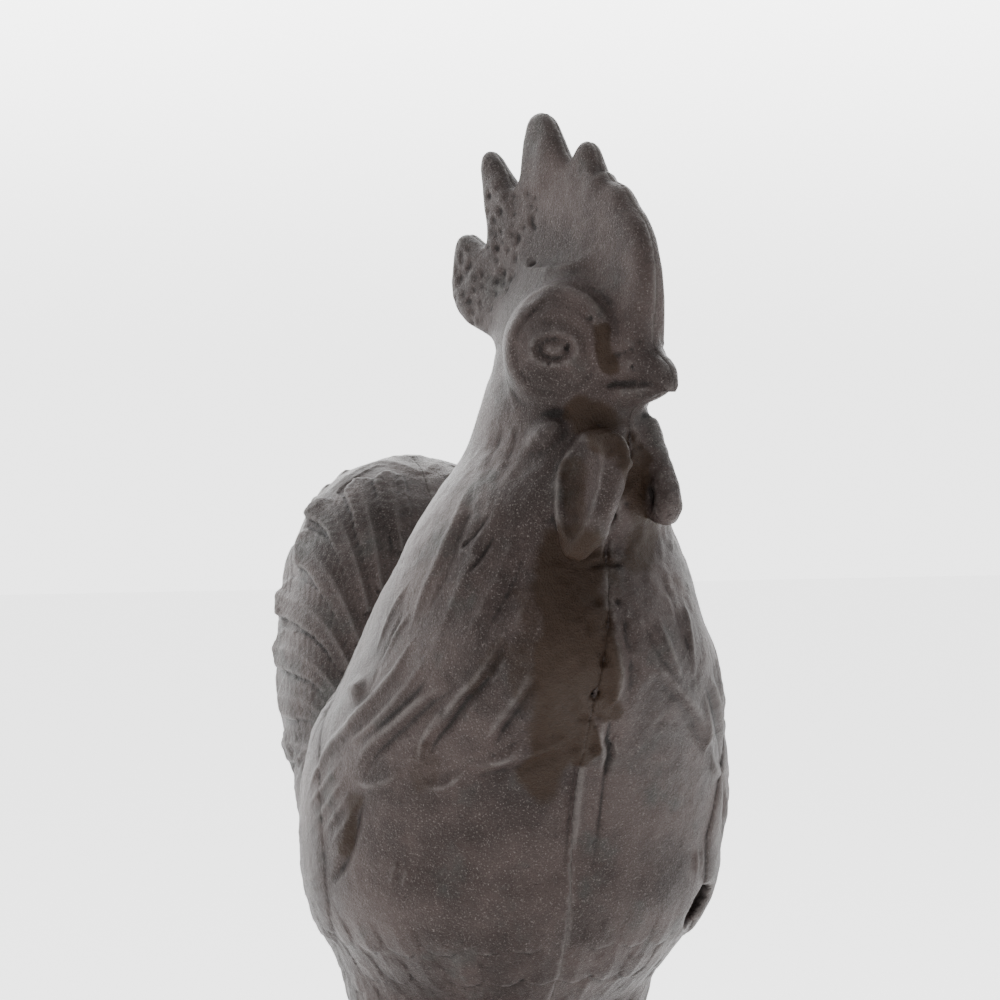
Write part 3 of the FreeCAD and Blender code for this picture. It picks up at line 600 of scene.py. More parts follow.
@dataclass(frozen=True)
class Wattle:
    """A hanging lobe with a raised rim. Outline points are forward of the neck's axis, and up."""

    outline: Table = (
        (38.0, 307.6), (43.0, 305.0), (46.4, 299.0), (47.8, 291.0), (47.4, 282.0), (45.0, 275.0),
        (40.6, 270.6), (35.6, 271.4), (30.6, 277.0), (26.4, 286.0), (24.6, 295.0), (26.2, 303.0),
        (31.0, 307.6),
    )
    outward: float = 10.8
    spread: float = 0.07
    spread_top: float = 310.0
    narrowing: float = 0.10
    narrowing_start: float = 33.0
    half_thickness: float = 4.4
    rim: float = 4.2
    dish: float = 0.42
    dish_start: float = 2.7
    dish_end: float = 7.7
    blend: float = 3.5
    box: Box = ((-26.0, -92.0, 262.0), (-2.0, -52.0, 322.0))

    def add_to(self, solid: SolidGrid, turn: HeadTurn) -> None:
        """Add the wattle.

        Args:
            solid: the straight half.
            turn: the head's turn, for the neck's axis.
        """
        window = solid.window(*self.box)
        forward, up = np.meshgrid(turn.axis_y - window.y.ravel(), window.z.ravel(), indexing="ij")
        inside = outline_distance(smooth_outline(self.outline), forward, up)
        narrowed = self.narrowing * (forward - self.narrowing_start)
        middle = -(self.outward + self.spread * (self.spread_top - up) - narrowed)
        hollow = 1.0 - self.dish * smoothstep(inside, self.dish_start, self.dish_end)
        half = self.half_thickness * rounded_rim(inside, self.rim) * hollow
        face = np.abs(window.x - spread_plane(middle)) - spread_plane(half)
        solid.add(window, np.maximum(face, spread_plane(-inside)), self.blend)


@dataclass(frozen=True)
class EarLobe:
    """The lobe behind the jaw: an ellipsoid that leans back."""

    across: float = -17.5
    forward: float = 17.0
    height: float = 304.8
    radii: Spot = (4.2, 8.5, 4.8)
    lean: float = -28.0
    blend: float = 1.5
    box: Box = ((-26.0, -72.0, 292.0), (-6.0, -40.0, 322.0))

    def add_to(self, solid: SolidGrid, turn: HeadTurn) -> None:
        """Add the lobe.

        Args:
            solid: the straight half.
            turn: the head's turn, for the neck's axis.
        """
        window = solid.window(*self.box)
        dx, dy = window.x - self.across, window.y - (turn.axis_y - self.forward)
        dz = window.z - self.height
        rows = np.array(Matrix.Rotation(math.radians(self.lean), 3, "X").transposed())
        scaled = [(a * dx + b * dy + c * dz) / radius for (a, b, c), radius in zip(rows, self.radii)]
        near = np.sqrt(sum(value**2 for value in scaled))
        steep = np.sqrt(sum((value / radius) ** 2 for value, radius in zip(scaled, self.radii))) + SMALL
        solid.add(window, near * (near - 1.0) / steep, self.blend)


@dataclass(frozen=True)
class Tail:
    """The bushy tail: the height, middle, half depth and half thickness of each ring."""

    levels: Table = (
        (150.0, 62.0, 34.0, 36.0), (175.0, 72.0, 42.0, 43.5), (200.0, 86.0, 46.0, 47.6),
        (225.0, 98.0, 44.5, 47.4), (250.0, 107.0, 41.0, 43.0), (270.0, 113.0, 35.5, 37.4),
        (284.0, 116.0, 27.0, 28.0), (292.0, 117.0, 16.0, 17.0), (296.0, 117.0, 5.0, 5.0),
    )
    squareness: float = 2.3
    least_slope: float = 0.02
    blend: float = 16.0
    box: Box = ((-60.0, 10.0, 140.0), (10.0, 168.0, 302.0))

    def add_to(self, solid: SolidGrid) -> None:
        """Add the tail's mass, a stack of ovals that are a little square.

        Args:
            solid: the straight half.
        """
        window, table = solid.window(*self.box), np.array(self.levels)
        middle, half_depth, half_width = (size.astype(np.float32) for size in read_levels(table, window.z))
        u, v = window.x / half_width, (window.y - middle) / half_depth
        near = (np.abs(u) ** self.squareness + np.abs(v) ** self.squareness) ** (1 / self.squareness)
        steep = np.sqrt((u / half_width) ** 2 + (v / half_depth) ** 2) + SMALL
        flank = near * (near - 1.0) / np.maximum(steep, self.least_slope)
        solid.add(window, capped(flank, window.z, table), self.blend)


@dataclass(frozen=True)
class Feather:
    """How a feather is cut: sizes in millimetres, and shares of its width or lift."""

    half_width: float
    lift: float
    barbs: float = 0.30
    barb_pitch: float = 3.2
    slant: float = 0.45
    root_width_share: float = 0.62
    widest_share: float = 0.55
    tip_share: float = 0.9
    longest_tip_share: float = 0.45
    root_lift_share: float = 0.25
    edge_lift_share: float = 0.55
    rachis_share: float = 0.30
    rachis_fade_share: float = 0.6
    rachis_width: float = 0.9
    reach_share: float = 1.15
    barb_lean: float = 0.9
    barb_start: float = 2.0
    smooth_edge_share: float = 0.25


@dataclass(frozen=True)
class Wing:
    """A folded wing that lies on the flank as a layer. Outline points are along Y and Z."""

    outline: Table = (
        (-8.0, 182.0), (-6.0, 200.0), (4.0, 216.0), (20.0, 224.0), (40.0, 221.0), (64.0, 206.0),
        (86.0, 186.0), (102.0, 164.0), (94.0, 156.0), (74.0, 154.0), (50.0, 149.0), (28.0, 146.0),
        (8.0, 150.0), (-4.0, 164.0),
    )
    thickness: float = 1.2
    edge: float = 12.0
    flank_across: float = -18.0
    flank_slope: float = -0.1
    flight: Feather = Feather(6.2, 1.5, 0.30, 2.4, 0.5)
    flight_pieces: int = 12
    flight_across: Spot = (-62.0, -62.0, -52.0)
    flight_guides: tuple[Table, ...] = (
        ((-2.0, 158.0), (34.0, 152.0), (66.0, 157.0)),
        ((6.0, 166.0), (44.0, 159.0), (78.0, 162.0)),
        ((14.0, 174.0), (54.0, 167.0), (90.0, 165.0)),
        ((22.0, 182.0), (62.0, 176.0), (98.0, 168.0)),
        ((28.0, 191.0), (66.0, 186.0), (96.0, 176.0)),
        ((32.0, 200.0), (64.0, 197.0), (90.0, 185.0)),
        ((36.0, 209.0), (60.0, 207.0), (80.0, 196.0)),
    )
    coverts: Table = ((0.10, 5.40, 13.0), (0.30, 5.76, 17.0), (0.52, 6.12, 24.0))
    covert: Feather = Feather(5.4, 1.0, 0.16, 2.2, 0.4)
    covert_guide: Table = ((-62.0, 0.0, 0.0), (-62.0, 0.55, 2.0), (-60.0, 1.0, 6.0))
    covert_start: float = -24.0
    covert_run: float = 62.0
    covert_shift: float = 2.4
    covert_top: float = 214.0
    covert_drop: float = 9.0
    coverts_in_row: int = 7
    covert_pieces: int = 6

    def layer(self, relief: "Relief") -> None:
        """Raise the wing's layer from the flank.

        Args:
            relief: the half's skin.
        """
        outward = (relief.points[:, 0] < self.flank_across) & (relief.normals[:, 0] < self.flank_slope)
        flank = np.flatnonzero(outward & relief.skin)
        spots = relief.points[flank]
        inside = outline_distance(smooth_outline(self.outline), spots[:, 1], spots[:, 2])
        relief.height[flank] += self.thickness * rounded_rim(inside, self.edge)

    def dress(self, relief: "Relief") -> None:
        """Lay the flight feathers, then three rows of coverts over their roots.

        Args:
            relief: the half's skin.
        """
        for guide in self.flight_guides:
            spots = [(across, *spot) for across, spot in zip(self.flight_across, guide)]
            relief.feather(relief.laid(spots, self.flight_pieces), self.flight)
        for share, half_width, length in reversed(self.coverts):
            cut = replace(self.covert, half_width=half_width)
            first, shift = self.covert_start + self.covert_run * share, self.covert_shift * (1.0 - share)
            for step in range(self.coverts_in_row):
                along, up = first + shift * step, self.covert_top - self.covert_drop * step + 6.0 * share
                guide = [(x, along + length * y, up - z) for x, y, z in self.covert_guide]
                relief.feather(relief.laid(guide, self.covert_pieces), cut)


@dataclass(frozen=True)
class Thigh:
    """A feathered thigh that ends in a flat foot for the leg: its sizes at each level."""

    levels: Table = (
        (100.0, 12.5, 13.5), (108.0, 14.5, 16.5), (120.0, 17.5, 22.0), (135.0, 21.0, 30.0),
        (150.0, 22.5, 37.0), (165.0, 20.0, 40.0),
    )
    across: float = -27.0
    along: float = 16.0
    blend: float = 6.0
    box: Box = ((-60.0, -35.0, 94.0), (0.0, 70.0, 172.0))

    def add_to(self, solid: SolidGrid) -> None:
        """Add the thigh.

        Args:
            solid: the straight half.
        """
        window, table = solid.window(*self.box), np.array(self.levels)
        half_width, half_depth = (size.astype(np.float32) for size in read_levels(table, window.z))
        side = oval_distance(window.x - self.across, window.y - self.along, half_width, half_depth)
        solid.add(window, capped(side, window.z, table), self.blend)


class Profile(Enum):
    """The cross-section of a stroke that is drawn on the casting."""

    RIDGE = "ridge"
    GROOVE = "groove"


@dataclass(frozen=True)
class Stroke:
    """A line of relief at pixels of the photograph: its profile, half width and height in millimetres."""

    pixels: Table
    profile: Profile
    width: float
    height: float
    end_share: float = 0.38
    end_width_share: float = 0.30
    reach_share: float = 2.4


def path_shares(path: Points) -> tuple[Points, float]:
    """How far along a path each of its points lies.

    Args:
        path: the path's points.

    Returns:
        Their places from 0 to 1, and the path's length.
    """
    runs = np.linalg.norm(np.diff(path, axis=0), axis=1)
    along = np.concatenate([[0.0], np.cumsum(runs)])
    return along / max(along[-1], 1e-9), float(along[-1])


class Relief:
    """The skin of one half casting while its feathers and marks are drawn on it."""

    def __init__(self, points: Points, faces: Points, joint: float) -> None:
        """Take a skin.

        Args:
            points: its points.
            faces: its faces.
            joint: how near to the joint's plane a point is still on the flat of the joint.
        """
        self.points = points
        self.faces = faces
        self.normals = self.point_normals()
        flat = (np.abs(points[:, 0]) < joint) & (np.abs(self.normals[:, 0]) > FLAT_SLOPE)
        self.skin = ~flat
        self.height = np.zeros(len(points))
        self.rust = np.zeros(len(points))
        self.tree = BVHTree.FromPolygons(points.tolist(), faces.tolist())

    def laid(self, guide: Sequence[Place], pieces: int) -> Points:
        """A smooth path through guide points, laid onto the skin."""
        return np.array([self.tree.find_nearest(Vector(spot))[0] for spot in smooth_curve(guide, pieces)])

    def point_normals(self) -> Points:
        """The direction that each point faces.

        Returns:
            A direction of length 1 for each point.
        """
        corners = self.points[self.faces]
        across = np.cross(corners[:, 2] - corners[:, 0], corners[:, 3] - corners[:, 1])
        total = np.zeros_like(self.points)
        for corner in range(4):
            for axis in range(3):
                total[:, axis] += np.bincount(self.faces[:, corner], across[:, axis], len(self.points))
        return total / np.maximum(np.linalg.norm(total, axis=1, keepdims=True), 1e-9)

    def near_path(self, path: Points, reach: float) -> tuple[Points, Points, Points, Points]:
        """The points of the skin near a path that lies on it.

        Args:
            path: the path's points.
            reach: how far from the path a point may be.

        Returns:
            Their indices, places along the path from 0 to 1, places to its side, and distances.
        """
        low, high = path.min(axis=0) - reach, path.max(axis=0) + reach
        close = np.flatnonzero(((self.points > low) & (self.points < high)).all(axis=1) & self.skin)
        if len(close) == 0:
            return close, np.zeros(0), np.zeros(0), np.zeros(0)
        spots = self.points[close]
        shares, _length = path_shares(path)
        best = np.full(len(close), FARTHEST)
        along, side = np.zeros(len(close)), np.zeros(len(close))
        for index in range(len(path) - 1):
            run = path[index + 1] - path[index]
            offset = spots - path[index]
            clipped = np.clip(offset @ run / (run @ run + TINY), 0.0, 1.0)
            away = offset - clipped[:, None] * run
            distance = np.einsum("ij,ij->i", away, away)
            nearer = distance < best
            best[nearer] = distance[nearer]
            along[nearer] = (shares[index] + clipped * (shares[index + 1] - shares[index]))[nearer]
            lateral = np.cross(self.normals[close], run / (np.linalg.norm(run) + TINY))
            side[nearer] = np.einsum("ij,ij->i", away, lateral)[nearer]
        distance = np.sqrt(best)
        kept = distance < reach
        return close[kept], along[kept], side[kept], distance[kept]

    def stroke(self, path: Points, stroke: Stroke, gain: float) -> None:
        """Draw one line of relief.

        Args:
            path: the line on the skin.
            stroke: how it is drawn.
            gain: how many times higher than its own height it is drawn.
        """
        index, along, _side, distance = self.near_path(path, stroke.width * stroke.reach_share)
        taper = smoothstep(np.minimum(along, 1.0 - along), 0.0, stroke.end_share)
        width = stroke.width * (stroke.end_width_share + (1.0 - stroke.end_width_share) * taper)
        sign = -1.0 if stroke.profile is Profile.GROOVE else 1.0
        self.height[index] += sign * stroke.height * gain * taper * np.exp(-((distance / width) ** 2))

    def feather(self, path: Points, cut: Feather) -> None:
        """Lay one feather over the skin: it overlaps what it lies on with its tip and sides.

        Args:
            path: the feather's rachis on the skin, from root to tip.
            cut: how the feather is cut.
        """
        index, along, side, distance = self.near_path(path, cut.half_width * cut.reach_share)
        if len(index) == 0:
            return
        _shares, length = path_shares(path)
        tip_share = min(cut.longest_tip_share, cut.half_width * cut.tip_share / max(length, SMALL))
        tip = np.clip((1.0 - along) / tip_share, 0.0, 1.0)
        widening = (1.0 - cut.root_width_share) * smoothstep(along, 0.0, cut.widest_share)
        width = cut.half_width * (cut.root_width_share + widening) * np.sqrt(1.0 - (1.0 - tip) ** 2 + SMALL)
        beyond = (along >= LAST_SHARE) | (along <= 1.0 - LAST_SHARE)
        across = np.where(beyond, distance, np.abs(side)) / np.maximum(width, LEAST_WIDTH)
        inside = across < 1.0
        index, along, side, across = index[inside], along[inside], side[inside], across[inside]
        edge = cut.edge_lift_share
        crown = edge + (1.0 - edge) * np.sqrt(np.maximum(1.0 - across * across, 0.0))
        rise = cut.root_lift_share + (1.0 - cut.root_lift_share) * along
        body = cut.lift * rise * crown * (1.0 + cut.slant * side / cut.half_width)
        fading = 1.0 - cut.rachis_fade_share * along
        rachis = cut.rachis_share * cut.lift * np.exp(-((side / cut.rachis_width) ** 2)) * fading
        phase = (along * length - np.abs(side) * cut.barb_lean) / cut.barb_pitch
        comb = np.abs(np.modf(phase + WHOLE_TURNS)[0] - 0.5) * 2.0
        clear = smoothstep(np.abs(side), cut.rachis_width, cut.barb_start)
        clear = clear * smoothstep(1.0 - across, 0.0, cut.smooth_edge_share)
        self.height[index] = np.maximum(self.height[index], body + rachis - cut.barbs * comb * clear)

    def settle(self) -> None:
        """Move the skin by what has been drawn so far, and start on a flat drawing again."""
        amount = np.where(self.skin, self.height, 0.0)
        self.points = self.points + self.normals * amount[:, None]
        self.height = np.zeros(len(self.points))
        self.normals = self.point_normals()

    def relaxed(self, values: Points, rounds: int) -> Points:
        """Values of the points, each moved towards those of its neighbours.

        Args:
            values: one value for each point.
            rounds: how often they are moved.

        Returns:
            The softened values.
        """
        pairs = np.vstack([self.faces[:, [a, (a + 1) % 4]] for a in range(4)])
        count = np.bincount(pairs.ravel(), minlength=len(self.points)).astype(float)
        for _round in range(rounds):
            total = np.bincount(pairs[:, 0], values[pairs[:, 1]], len(self.points))
            total += np.bincount(pairs[:, 1], values[pairs[:, 0]], len(self.points))
            values = 0.5 * values + 0.5 * total / np.maximum(count, 1.0)
        return values

    def hollowness(self, rounds: int) -> Points:
        """How far each point lies below the middle of its surroundings, after some rounds."""
        middle = np.stack([self.relaxed(self.points[:, axis], rounds) for axis in range(3)], axis=1)
        return np.einsum("ij,ij->i", middle - self.points, self.normals)


class NodePen:
    """Adds nodes to a tree and feeds their inputs."""

    def __init__(self, tree: bpy.types.NodeTree) -> None:
        """Take a tree."""
        self.tree = tree

    def feed(self, socket: Socket, value: object) -> None:
        """Give an input its value.

        Args:
            socket: the input.
            value: a node's output, a colour or a number.
        """
        if isinstance(value, Socket):
            self.tree.links.new(value, socket)
        else:
            socket.default_value = (*value, 1.0) if socket.type == "RGBA" else value

    def node(self, kind: str, feeds: dict[str | int, object], **settings: object) -> bpy.types.Node:
        """Add a node.

        Args:
            kind: its type.
            feeds: what each of its inputs is given.
            settings: its own settings.

        Returns:
            The node.
        """
        node = self.tree.nodes.new(kind)
        for name, value in settings.items():
            setattr(node, name, value)
        for name, value in feeds.items():
            self.feed(node.inputs[name], value)
        return node

    def calculation(
        self, kind: str, first: object, second: object, clamp: bool = False
    ) -> Socket:
        """Add a calculation with two values, kept between 0 and 1 if clamped."""
        return self.node("ShaderNodeMath", {0: first, 1: second}, operation=kind, use_clamp=clamp).outputs[0]

    def noise(self, scale: float, detail: float, roughness: float) -> Socket:
        """Add soft noise on the piece's own axes.

        Args:
            scale: how fine it is.
            detail: how many finer layers it has.
            roughness: how strong those layers are.

        Returns:
            Its value.
        """
        place = self.node("ShaderNodeTexCoord", {}).outputs["Object"]
        feeds = {"Vector": place, "Scale": scale, "Detail": detail, "Roughness": roughness}
        return self.node("ShaderNodeTexNoise", feeds).outputs["Fac"]

    def ramp(
        self, source: Socket, low: float, high: float, ends: Band = (0.0, 1.0)
    ) -> Socket:
        """Add a soft step from low to high, with its values at both ends."""
        feeds = {"Value": source, "From Min": low, "From Max": high, "To Min": ends[0], "To Max": ends[1]}
        return self.node("ShaderNodeMapRange", feeds, interpolation_type="SMOOTHSTEP").outputs["Result"]

    def mix(self, share: Socket, first: object, second: object) -> Socket:
        """Mix two colours by the share of the second."""
        feeds = {"Factor": share, 6: first, 7: second}
        return self.node("ShaderNodeMix", feeds, data_type="RGBA").outputs[2]


def new_material(name: str) -> tuple[Material, NodePen, bpy.types.Node]:
    """Start a material.

    Args:
        name: its name.

    Returns:
        The material, a pen for its nodes, and its shader.
    """
    material = bpy.data.materials.new(name)
    material.use_nodes = True
    pen = NodePen(material.node_tree)
    return material, pen, pen.tree.nodes["Principled BSDF"]


@dataclass(frozen=True)
class Mottle:
    """Spots of one colour: the noise that they are cut from, the threshold, and how strong they are."""

    noise: Spot
    low: float
    high: float
    strength: float
    colour: Spot


@dataclass(frozen=True)
class PaintedLight:
    """Painted light, shade in hollows and highlights on ridges, that a finish shows where the piece is
    marked: the attribute, its strength and its colour.
    """

    attribute: str
    strength: float
    colour: Spot


@dataclass(frozen=True)
class Bump:
    """Roughness too fine for the mesh: its noise, strength and height, and a threshold where it is pitted."""

    noise: Spot
    strength: float
    height: float
    threshold: Band | None = None


@dataclass(frozen=True)
class CastIronFinish:
    """Waxed, browned cast iron with sand grain, pits, rust stains, painted shade in its hollows and painted
    highlights on its ridges.
    """

    name: str
    dark: Spot = (0.018, 0.0120, 0.0106)
    mottles_and_glints: tuple[Mottle, ...] = (
        Mottle((34.0, 5.0, 0.6), 0.36, 0.64, 1.0, (0.041, 0.0290, 0.0262)),
        Mottle((55.0, 4.0, 0.6), 0.52, 0.72, 1.0, (0.028, 0.0255, 0.0232)),
        # Painted glints: fine bright specks that stand in for light sparkling on the grain.
        Mottle((1800.0, 4.0, 0.75), 0.55, 0.68, 0.65, (0.150, 0.132, 0.124)),
        Mottle((1150.0, 3.0, 0.7), 0.60, 0.76, 0.60, (0.005, 0.0038, 0.0033)),
    )
    painted_light: tuple[PaintedLight, ...] = (
        # Painted shade: the skin's hollows darkened almost to black.
        PaintedLight("hollow", 0.82, (0.004, 0.0030, 0.0026)),
        # Painted highlight: the skin's ridges and broad bulges lightened.
        PaintedLight("ridge_highlight", 0.50, (0.10, 0.090, 0.085)),
    )
    rust: Mottle = Mottle((330.0, 6.0, 0.72), 0.46, 0.98, 0.93, (0.0165, 0.0082, 0.0036))
    rust_raggedness: float = 0.55
    roughness: Band = (0.24, 0.60)
    roughness_noise: Spot = (1300.0, 4.0, 0.7)
    metallic: float = 0.10
    specular: float = 0.15
    bumps: tuple[Bump, ...] = (
        Bump((420.0, 5.0, 0.6), 0.8, 0.0007),
        Bump((1700.0, 4.0, 0.7), 0.85, 0.0006),
        Bump((620.0, 4.0, 0.7), 0.8, 0.0005, (0.26, 0.38)),
    )

    def build(self) -> Material:
        """Make the finish's material.

        Returns:
            The material.
        """
        material, pen, shader = new_material(self.name)
        colour = self.dark
        for mottle in self.mottles_and_glints:
            share = pen.ramp(pen.noise(*mottle.noise), mottle.low, mottle.high)
            colour = pen.mix(pen.calculation("MULTIPLY", share, mottle.strength, True), colour, mottle.colour)
        # Painted shade in hollows and painted highlights on ridges, read from the skin's attributes.
        for painted_light in self.painted_light:
            mark = pen.node("ShaderNodeAttribute", {}, attribute_name=painted_light.attribute).outputs["Fac"]
            colour = pen.mix(pen.calculation("MULTIPLY", mark, painted_light.strength, True), colour, painted_light.colour)
        ragged = pen.calculation("MULTIPLY", pen.noise(*self.rust.noise), self.rust_raggedness, True)
        stained = pen.node("ShaderNodeAttribute", {}, attribute_name="rust").outputs["Fac"]
        share = pen.ramp(pen.calculation("ADD", stained, ragged, True), self.rust.low, self.rust.high)
        share = pen.calculation("MULTIPLY", share, self.rust.strength, True)
        pen.feed(shader.inputs["Base Color"], pen.mix(share, colour, self.rust.colour))
        low, high = self.roughness
        feeds = {"Value": pen.noise(*self.roughness_noise), "To Min": low, "To Max": high}
        rough = pen.node("ShaderNodeMapRange", feeds)
        pen.feed(shader.inputs["Roughness"], rough.outputs["Result"])
        pen.feed(shader.inputs["Metallic"], self.metallic)
        pen.feed(shader.inputs["Specular IOR Level"], self.specular)
        feeds = {}
        for bump in self.bumps:
            height = pen.noise(*bump.noise)
            if bump.threshold:
                height = pen.ramp(height, *bump.threshold)
            feeds |= {"Strength": bump.strength, "Distance": bump.height, "Height": height}
            feeds["Normal"] = pen.node("ShaderNodeBump", feeds).outputs["Normal"]
        pen.feed(shader.inputs["Normal"], feeds["Normal"])
        return material


@dataclass(frozen=True)
class BrownedSteelFinish:
    """Dull, browned steel of the fixings."""

    name: str = "browned_steel"
    colour: Spot = (0.16, 0.13, 0.115)
    stain: Spot = (0.07, 0.035, 0.02)
    noise: Spot = (320.0, 5.0, 0.5)
    metallic: float = 0.8
    roughness: float = 0.5
    bump_strength: float = 0.3
    bump_height: float = 0.0002

    def build(self) -> Material:
        """Make the finish's material.

        Returns:
            The material.
        """
        material, pen, shader = new_material(self.name)
        stain = pen.noise(*self.noise)
        pen.feed(shader.inputs["Base Color"], pen.mix(stain, self.colour, self.stain))
        pen.feed(shader.inputs["Metallic"], self.metallic)
        pen.feed(shader.inputs["Roughness"], self.roughness)
        feeds = {"Strength": self.bump_strength, "Distance": self.bump_height, "Height": stain}
        pen.feed(shader.inputs["Normal"], pen.node("ShaderNodeBump", feeds).outputs["Normal"])
        return material


def mesh_piece(name: str, points: Points, faces: Sequence[Sequence[int]]) -> bpy.types.Object:
    """A new object of a mesh given in millimetres.

    Args:
        name: its name.
        points: its points.
        faces: its faces.

    Returns:
        The object, at the origin.
    """
    mesh = bpy.data.meshes.new(name)
    mesh.from_pydata((points * MILLIMETRE).tolist(), [], np.asarray(faces).tolist())
    mesh.polygons.foreach_set("use_smooth", np.full(len(mesh.polygons), True))
    mesh.update()
    piece = bpy.data.objects.new(name, mesh)
    bpy.context.scene.collection.objects.link(piece)
    return piece


def seat(piece: bpy.types.Object, material: Material, slot: str, node: str) -> None:
    """Finish a piece, fix it to the body and let it stand for its node.

    Args:
        piece: the piece.
        material: its finish.
        slot: not used.
        node: the node that it stands for.
    """
    piece.data.materials.clear()
    piece.data.materials.append(material)
    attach(piece, "root")
    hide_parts(node)
    LOG.info("piece %s: %d faces", piece.name, len(piece.data.polygons))


def skin_piece(
    name: str, relief: Relief, spots: Points, mirrored: bool, extra: Sequence[tuple[Points, Points]] = ()
) -> bpy.types.Object:
    """A piece of a finished skin, with what its finish reads: its rust stains, its hollows for painted shade
    and its ridges for painted highlights.

    Args:
        name: its name.
        relief: the skin.
        spots: where the skin's points end up.
        mirrored: whether they are a mirror image, so that the faces turn round.
        extra: points and faces of more closed forms that belong to the piece.

    Returns:
        The object.
    """
    fine, broad = relief.hollowness(FINE_ROUNDS), relief.hollowness(BROAD_ROUNDS)
    # Painted shade: where the fine or broad hollows lie.
    hollow = np.maximum(smoothstep(fine, *FINE_HOLLOW), smoothstep(broad, *BROAD_HOLLOW)) * relief.skin
    # Painted highlight: where the fine ridges or broad bulges lie.
    broad_highlight = BROAD_HIGHLIGHT_SHARE * smoothstep(-broad, *BROAD_RIDGE)
    ridge_highlight = np.maximum(smoothstep(-fine, *FINE_RIDGE), broad_highlight) * relief.skin
    values = {"rust": [relief.rust * relief.skin], "hollow": [hollow], "ridge_highlight": [ridge_highlight]}
    points, faces = [spots], [relief.faces]
    for more_points, more_faces in extra:
        faces.append(more_faces + sum(len(part) for part in points))
        points.append(more_points)
        for label, level in PLAIN_RUST_AND_PAINTED_LIGHT.items():
            values[label].append(np.full(len(more_points), level))
    order = np.vstack(faces)
    piece = mesh_piece(name, np.vstack(points), order[:, ::-1] if mirrored else order)
    for label, parts in values.items():
        layer = piece.data.attributes.new(label, "FLOAT", "POINT")
        layer.data.foreach_set("value", np.concatenate(parts).astype(np.float32))
    return piece


@dataclass(frozen=True)
class Blob:
    """A stain drawn at pixels of the photograph: a path and how far the stain reaches from it, in pixels."""

    pixels: Table
    reach: float
    strength: float = 1.0


@dataclass(frozen=True)
class Quill:
    """A tail feather drawn at pixels of the photograph, from root to tip."""

    pixels: Table
    cut: Feather


def ridge(width: float, height: float, *pixels: Band) -> Stroke:
    """A raised stroke through pixels of the photograph."""
    return Stroke(pixels, Profile.RIDGE, width, height)


def groove(width: float, height: float, *pixels: Band) -> Stroke:
    """A sunken stroke through pixels of the photograph."""
    return Stroke(pixels, Profile.GROOVE, width, height)


BREAST_STROKES = (
    ridge(1.0, 0.55, (413, 575), (391, 612), (373, 660)),
    ridge(1.0, 0.55, (418, 603), (400, 627), (382, 660), (369, 690)),
    ridge(1.3, 0.7, (424, 625), (408, 647), (390, 677), (360, 713), (338, 743)),
    ridge(1.3, 0.7, (434, 647), (401, 693), (370, 727), (338, 750)),
    groove(1.2, 0.5, (446, 650), (418, 690), (388, 722), (356, 752)),
    ridge(1.9, 1.0, (512, 620), (497, 647), (477, 677), (460, 693), (440, 720), (423, 743), (417, 770)),
    groove(1.6, 1.0, (518, 622), (504, 650), (485, 682), (468, 699), (449, 726), (432, 749), (427, 772)),
    ridge(1.8, 0.9, (460, 677), (430, 693), (397, 720), (367, 747), (352, 780)),
    groove(1.6, 0.8, (463, 686), (434, 702), (404, 729), (375, 756), (361, 787)),
    ridge(1.4, 0.7, (450, 697), (430, 725), (420, 747), (418, 777)),
    groove(0.9, 0.7, (498, 530), (482, 556), (465, 580)),
    groove(0.8, 0.6, (470, 537), (461, 550)),
    groove(0.8, 0.6, (493, 510), (477, 533), (463, 547)),
    ridge(2.4, 1.2, (538, 655), (517, 693), (497, 720), (482, 747)),
    groove(1.4, 0.7, (512, 627), (496, 655), (480, 680)),
    groove(1.8, 0.8, (547, 662), (526, 700), (506, 728), (490, 755)),
    ridge(2.6, 0.9, (605, 722), (572, 738), (537, 750), (497, 762), (457, 767)),
    groove(2.0, 0.7, (602, 733), (572, 749), (538, 761), (498, 773), (460, 778)),
    ridge(3.0, 1.5, (350, 687), (357, 690), (365, 695)),
    ridge(1.9, 0.9, (392, 682), (373, 702), (350, 725), (325, 755), (310, 800)),
    ridge(1.1, 0.5, (342, 760), (326, 782), (312, 807)),
    ridge(1.1, 0.5, (348, 772), (333, 795), (316, 822)),
    ridge(1.1, 0.5, (354, 785), (340, 808), (322, 836)),
    ridge(1.1, 0.5, (359, 800), (346, 822), (329, 850)),
    groove(2.0, 1.2, (367, 788), (356, 820), (347, 853), (338, 872), (327, 889)),
    ridge(1.0, 0.45, (397, 857), (393, 872), (389, 889)),
    ridge(1.0, 0.45, (408, 862), (405, 876), (401, 892)),
    ridge(0.9, 0.4, (304, 880), (314, 878), (324, 873)),
    ridge(0.9, 0.4, (304, 891), (314, 889), (325, 884)),
    groove(1.3, 0.35, (430, 600), (440, 570), (455, 540), (468, 505), (478, 470)),
    ridge(2.2, 0.45, (448, 610), (470, 575), (488, 535), (500, 490)),
    ridge(3.2, 0.5, (560, 775), (540, 815), (528, 860), (522, 895)),
    groove(2.6, 0.4, (500, 790), (478, 830), (465, 880)),
    ridge(1.6, 0.5, (470, 480), (448, 535), (425, 590), (402, 650)),
    groove(1.3, 0.5, (482, 478), (462, 530), (441, 585), (424, 625)),
    ridge(1.7, 0.55, (495, 490), (478, 540), (458, 590), (436, 640)),
    ridge(1.8, 0.6, (520, 520), (504, 562), (486, 600), (462, 650)),
    groove(1.5, 0.6, (530, 540), (514, 580), (497, 612), (474, 655)),
    ridge(1.6, 0.5, (536, 570), (524, 605), (510, 640)),
    groove(1.1, 0.5, (408, 592), (398, 622), (380, 664), (366, 700)),
    ridge(1.6, 0.8, (352, 782), (372, 786), (392, 778), (404, 762)),
    ridge(1.6, 0.8, (418, 778), (432, 788), (452, 782), (470, 764)),
    ridge(1.6, 0.7, (482, 748), (494, 760), (512, 752), (530, 736)),
)
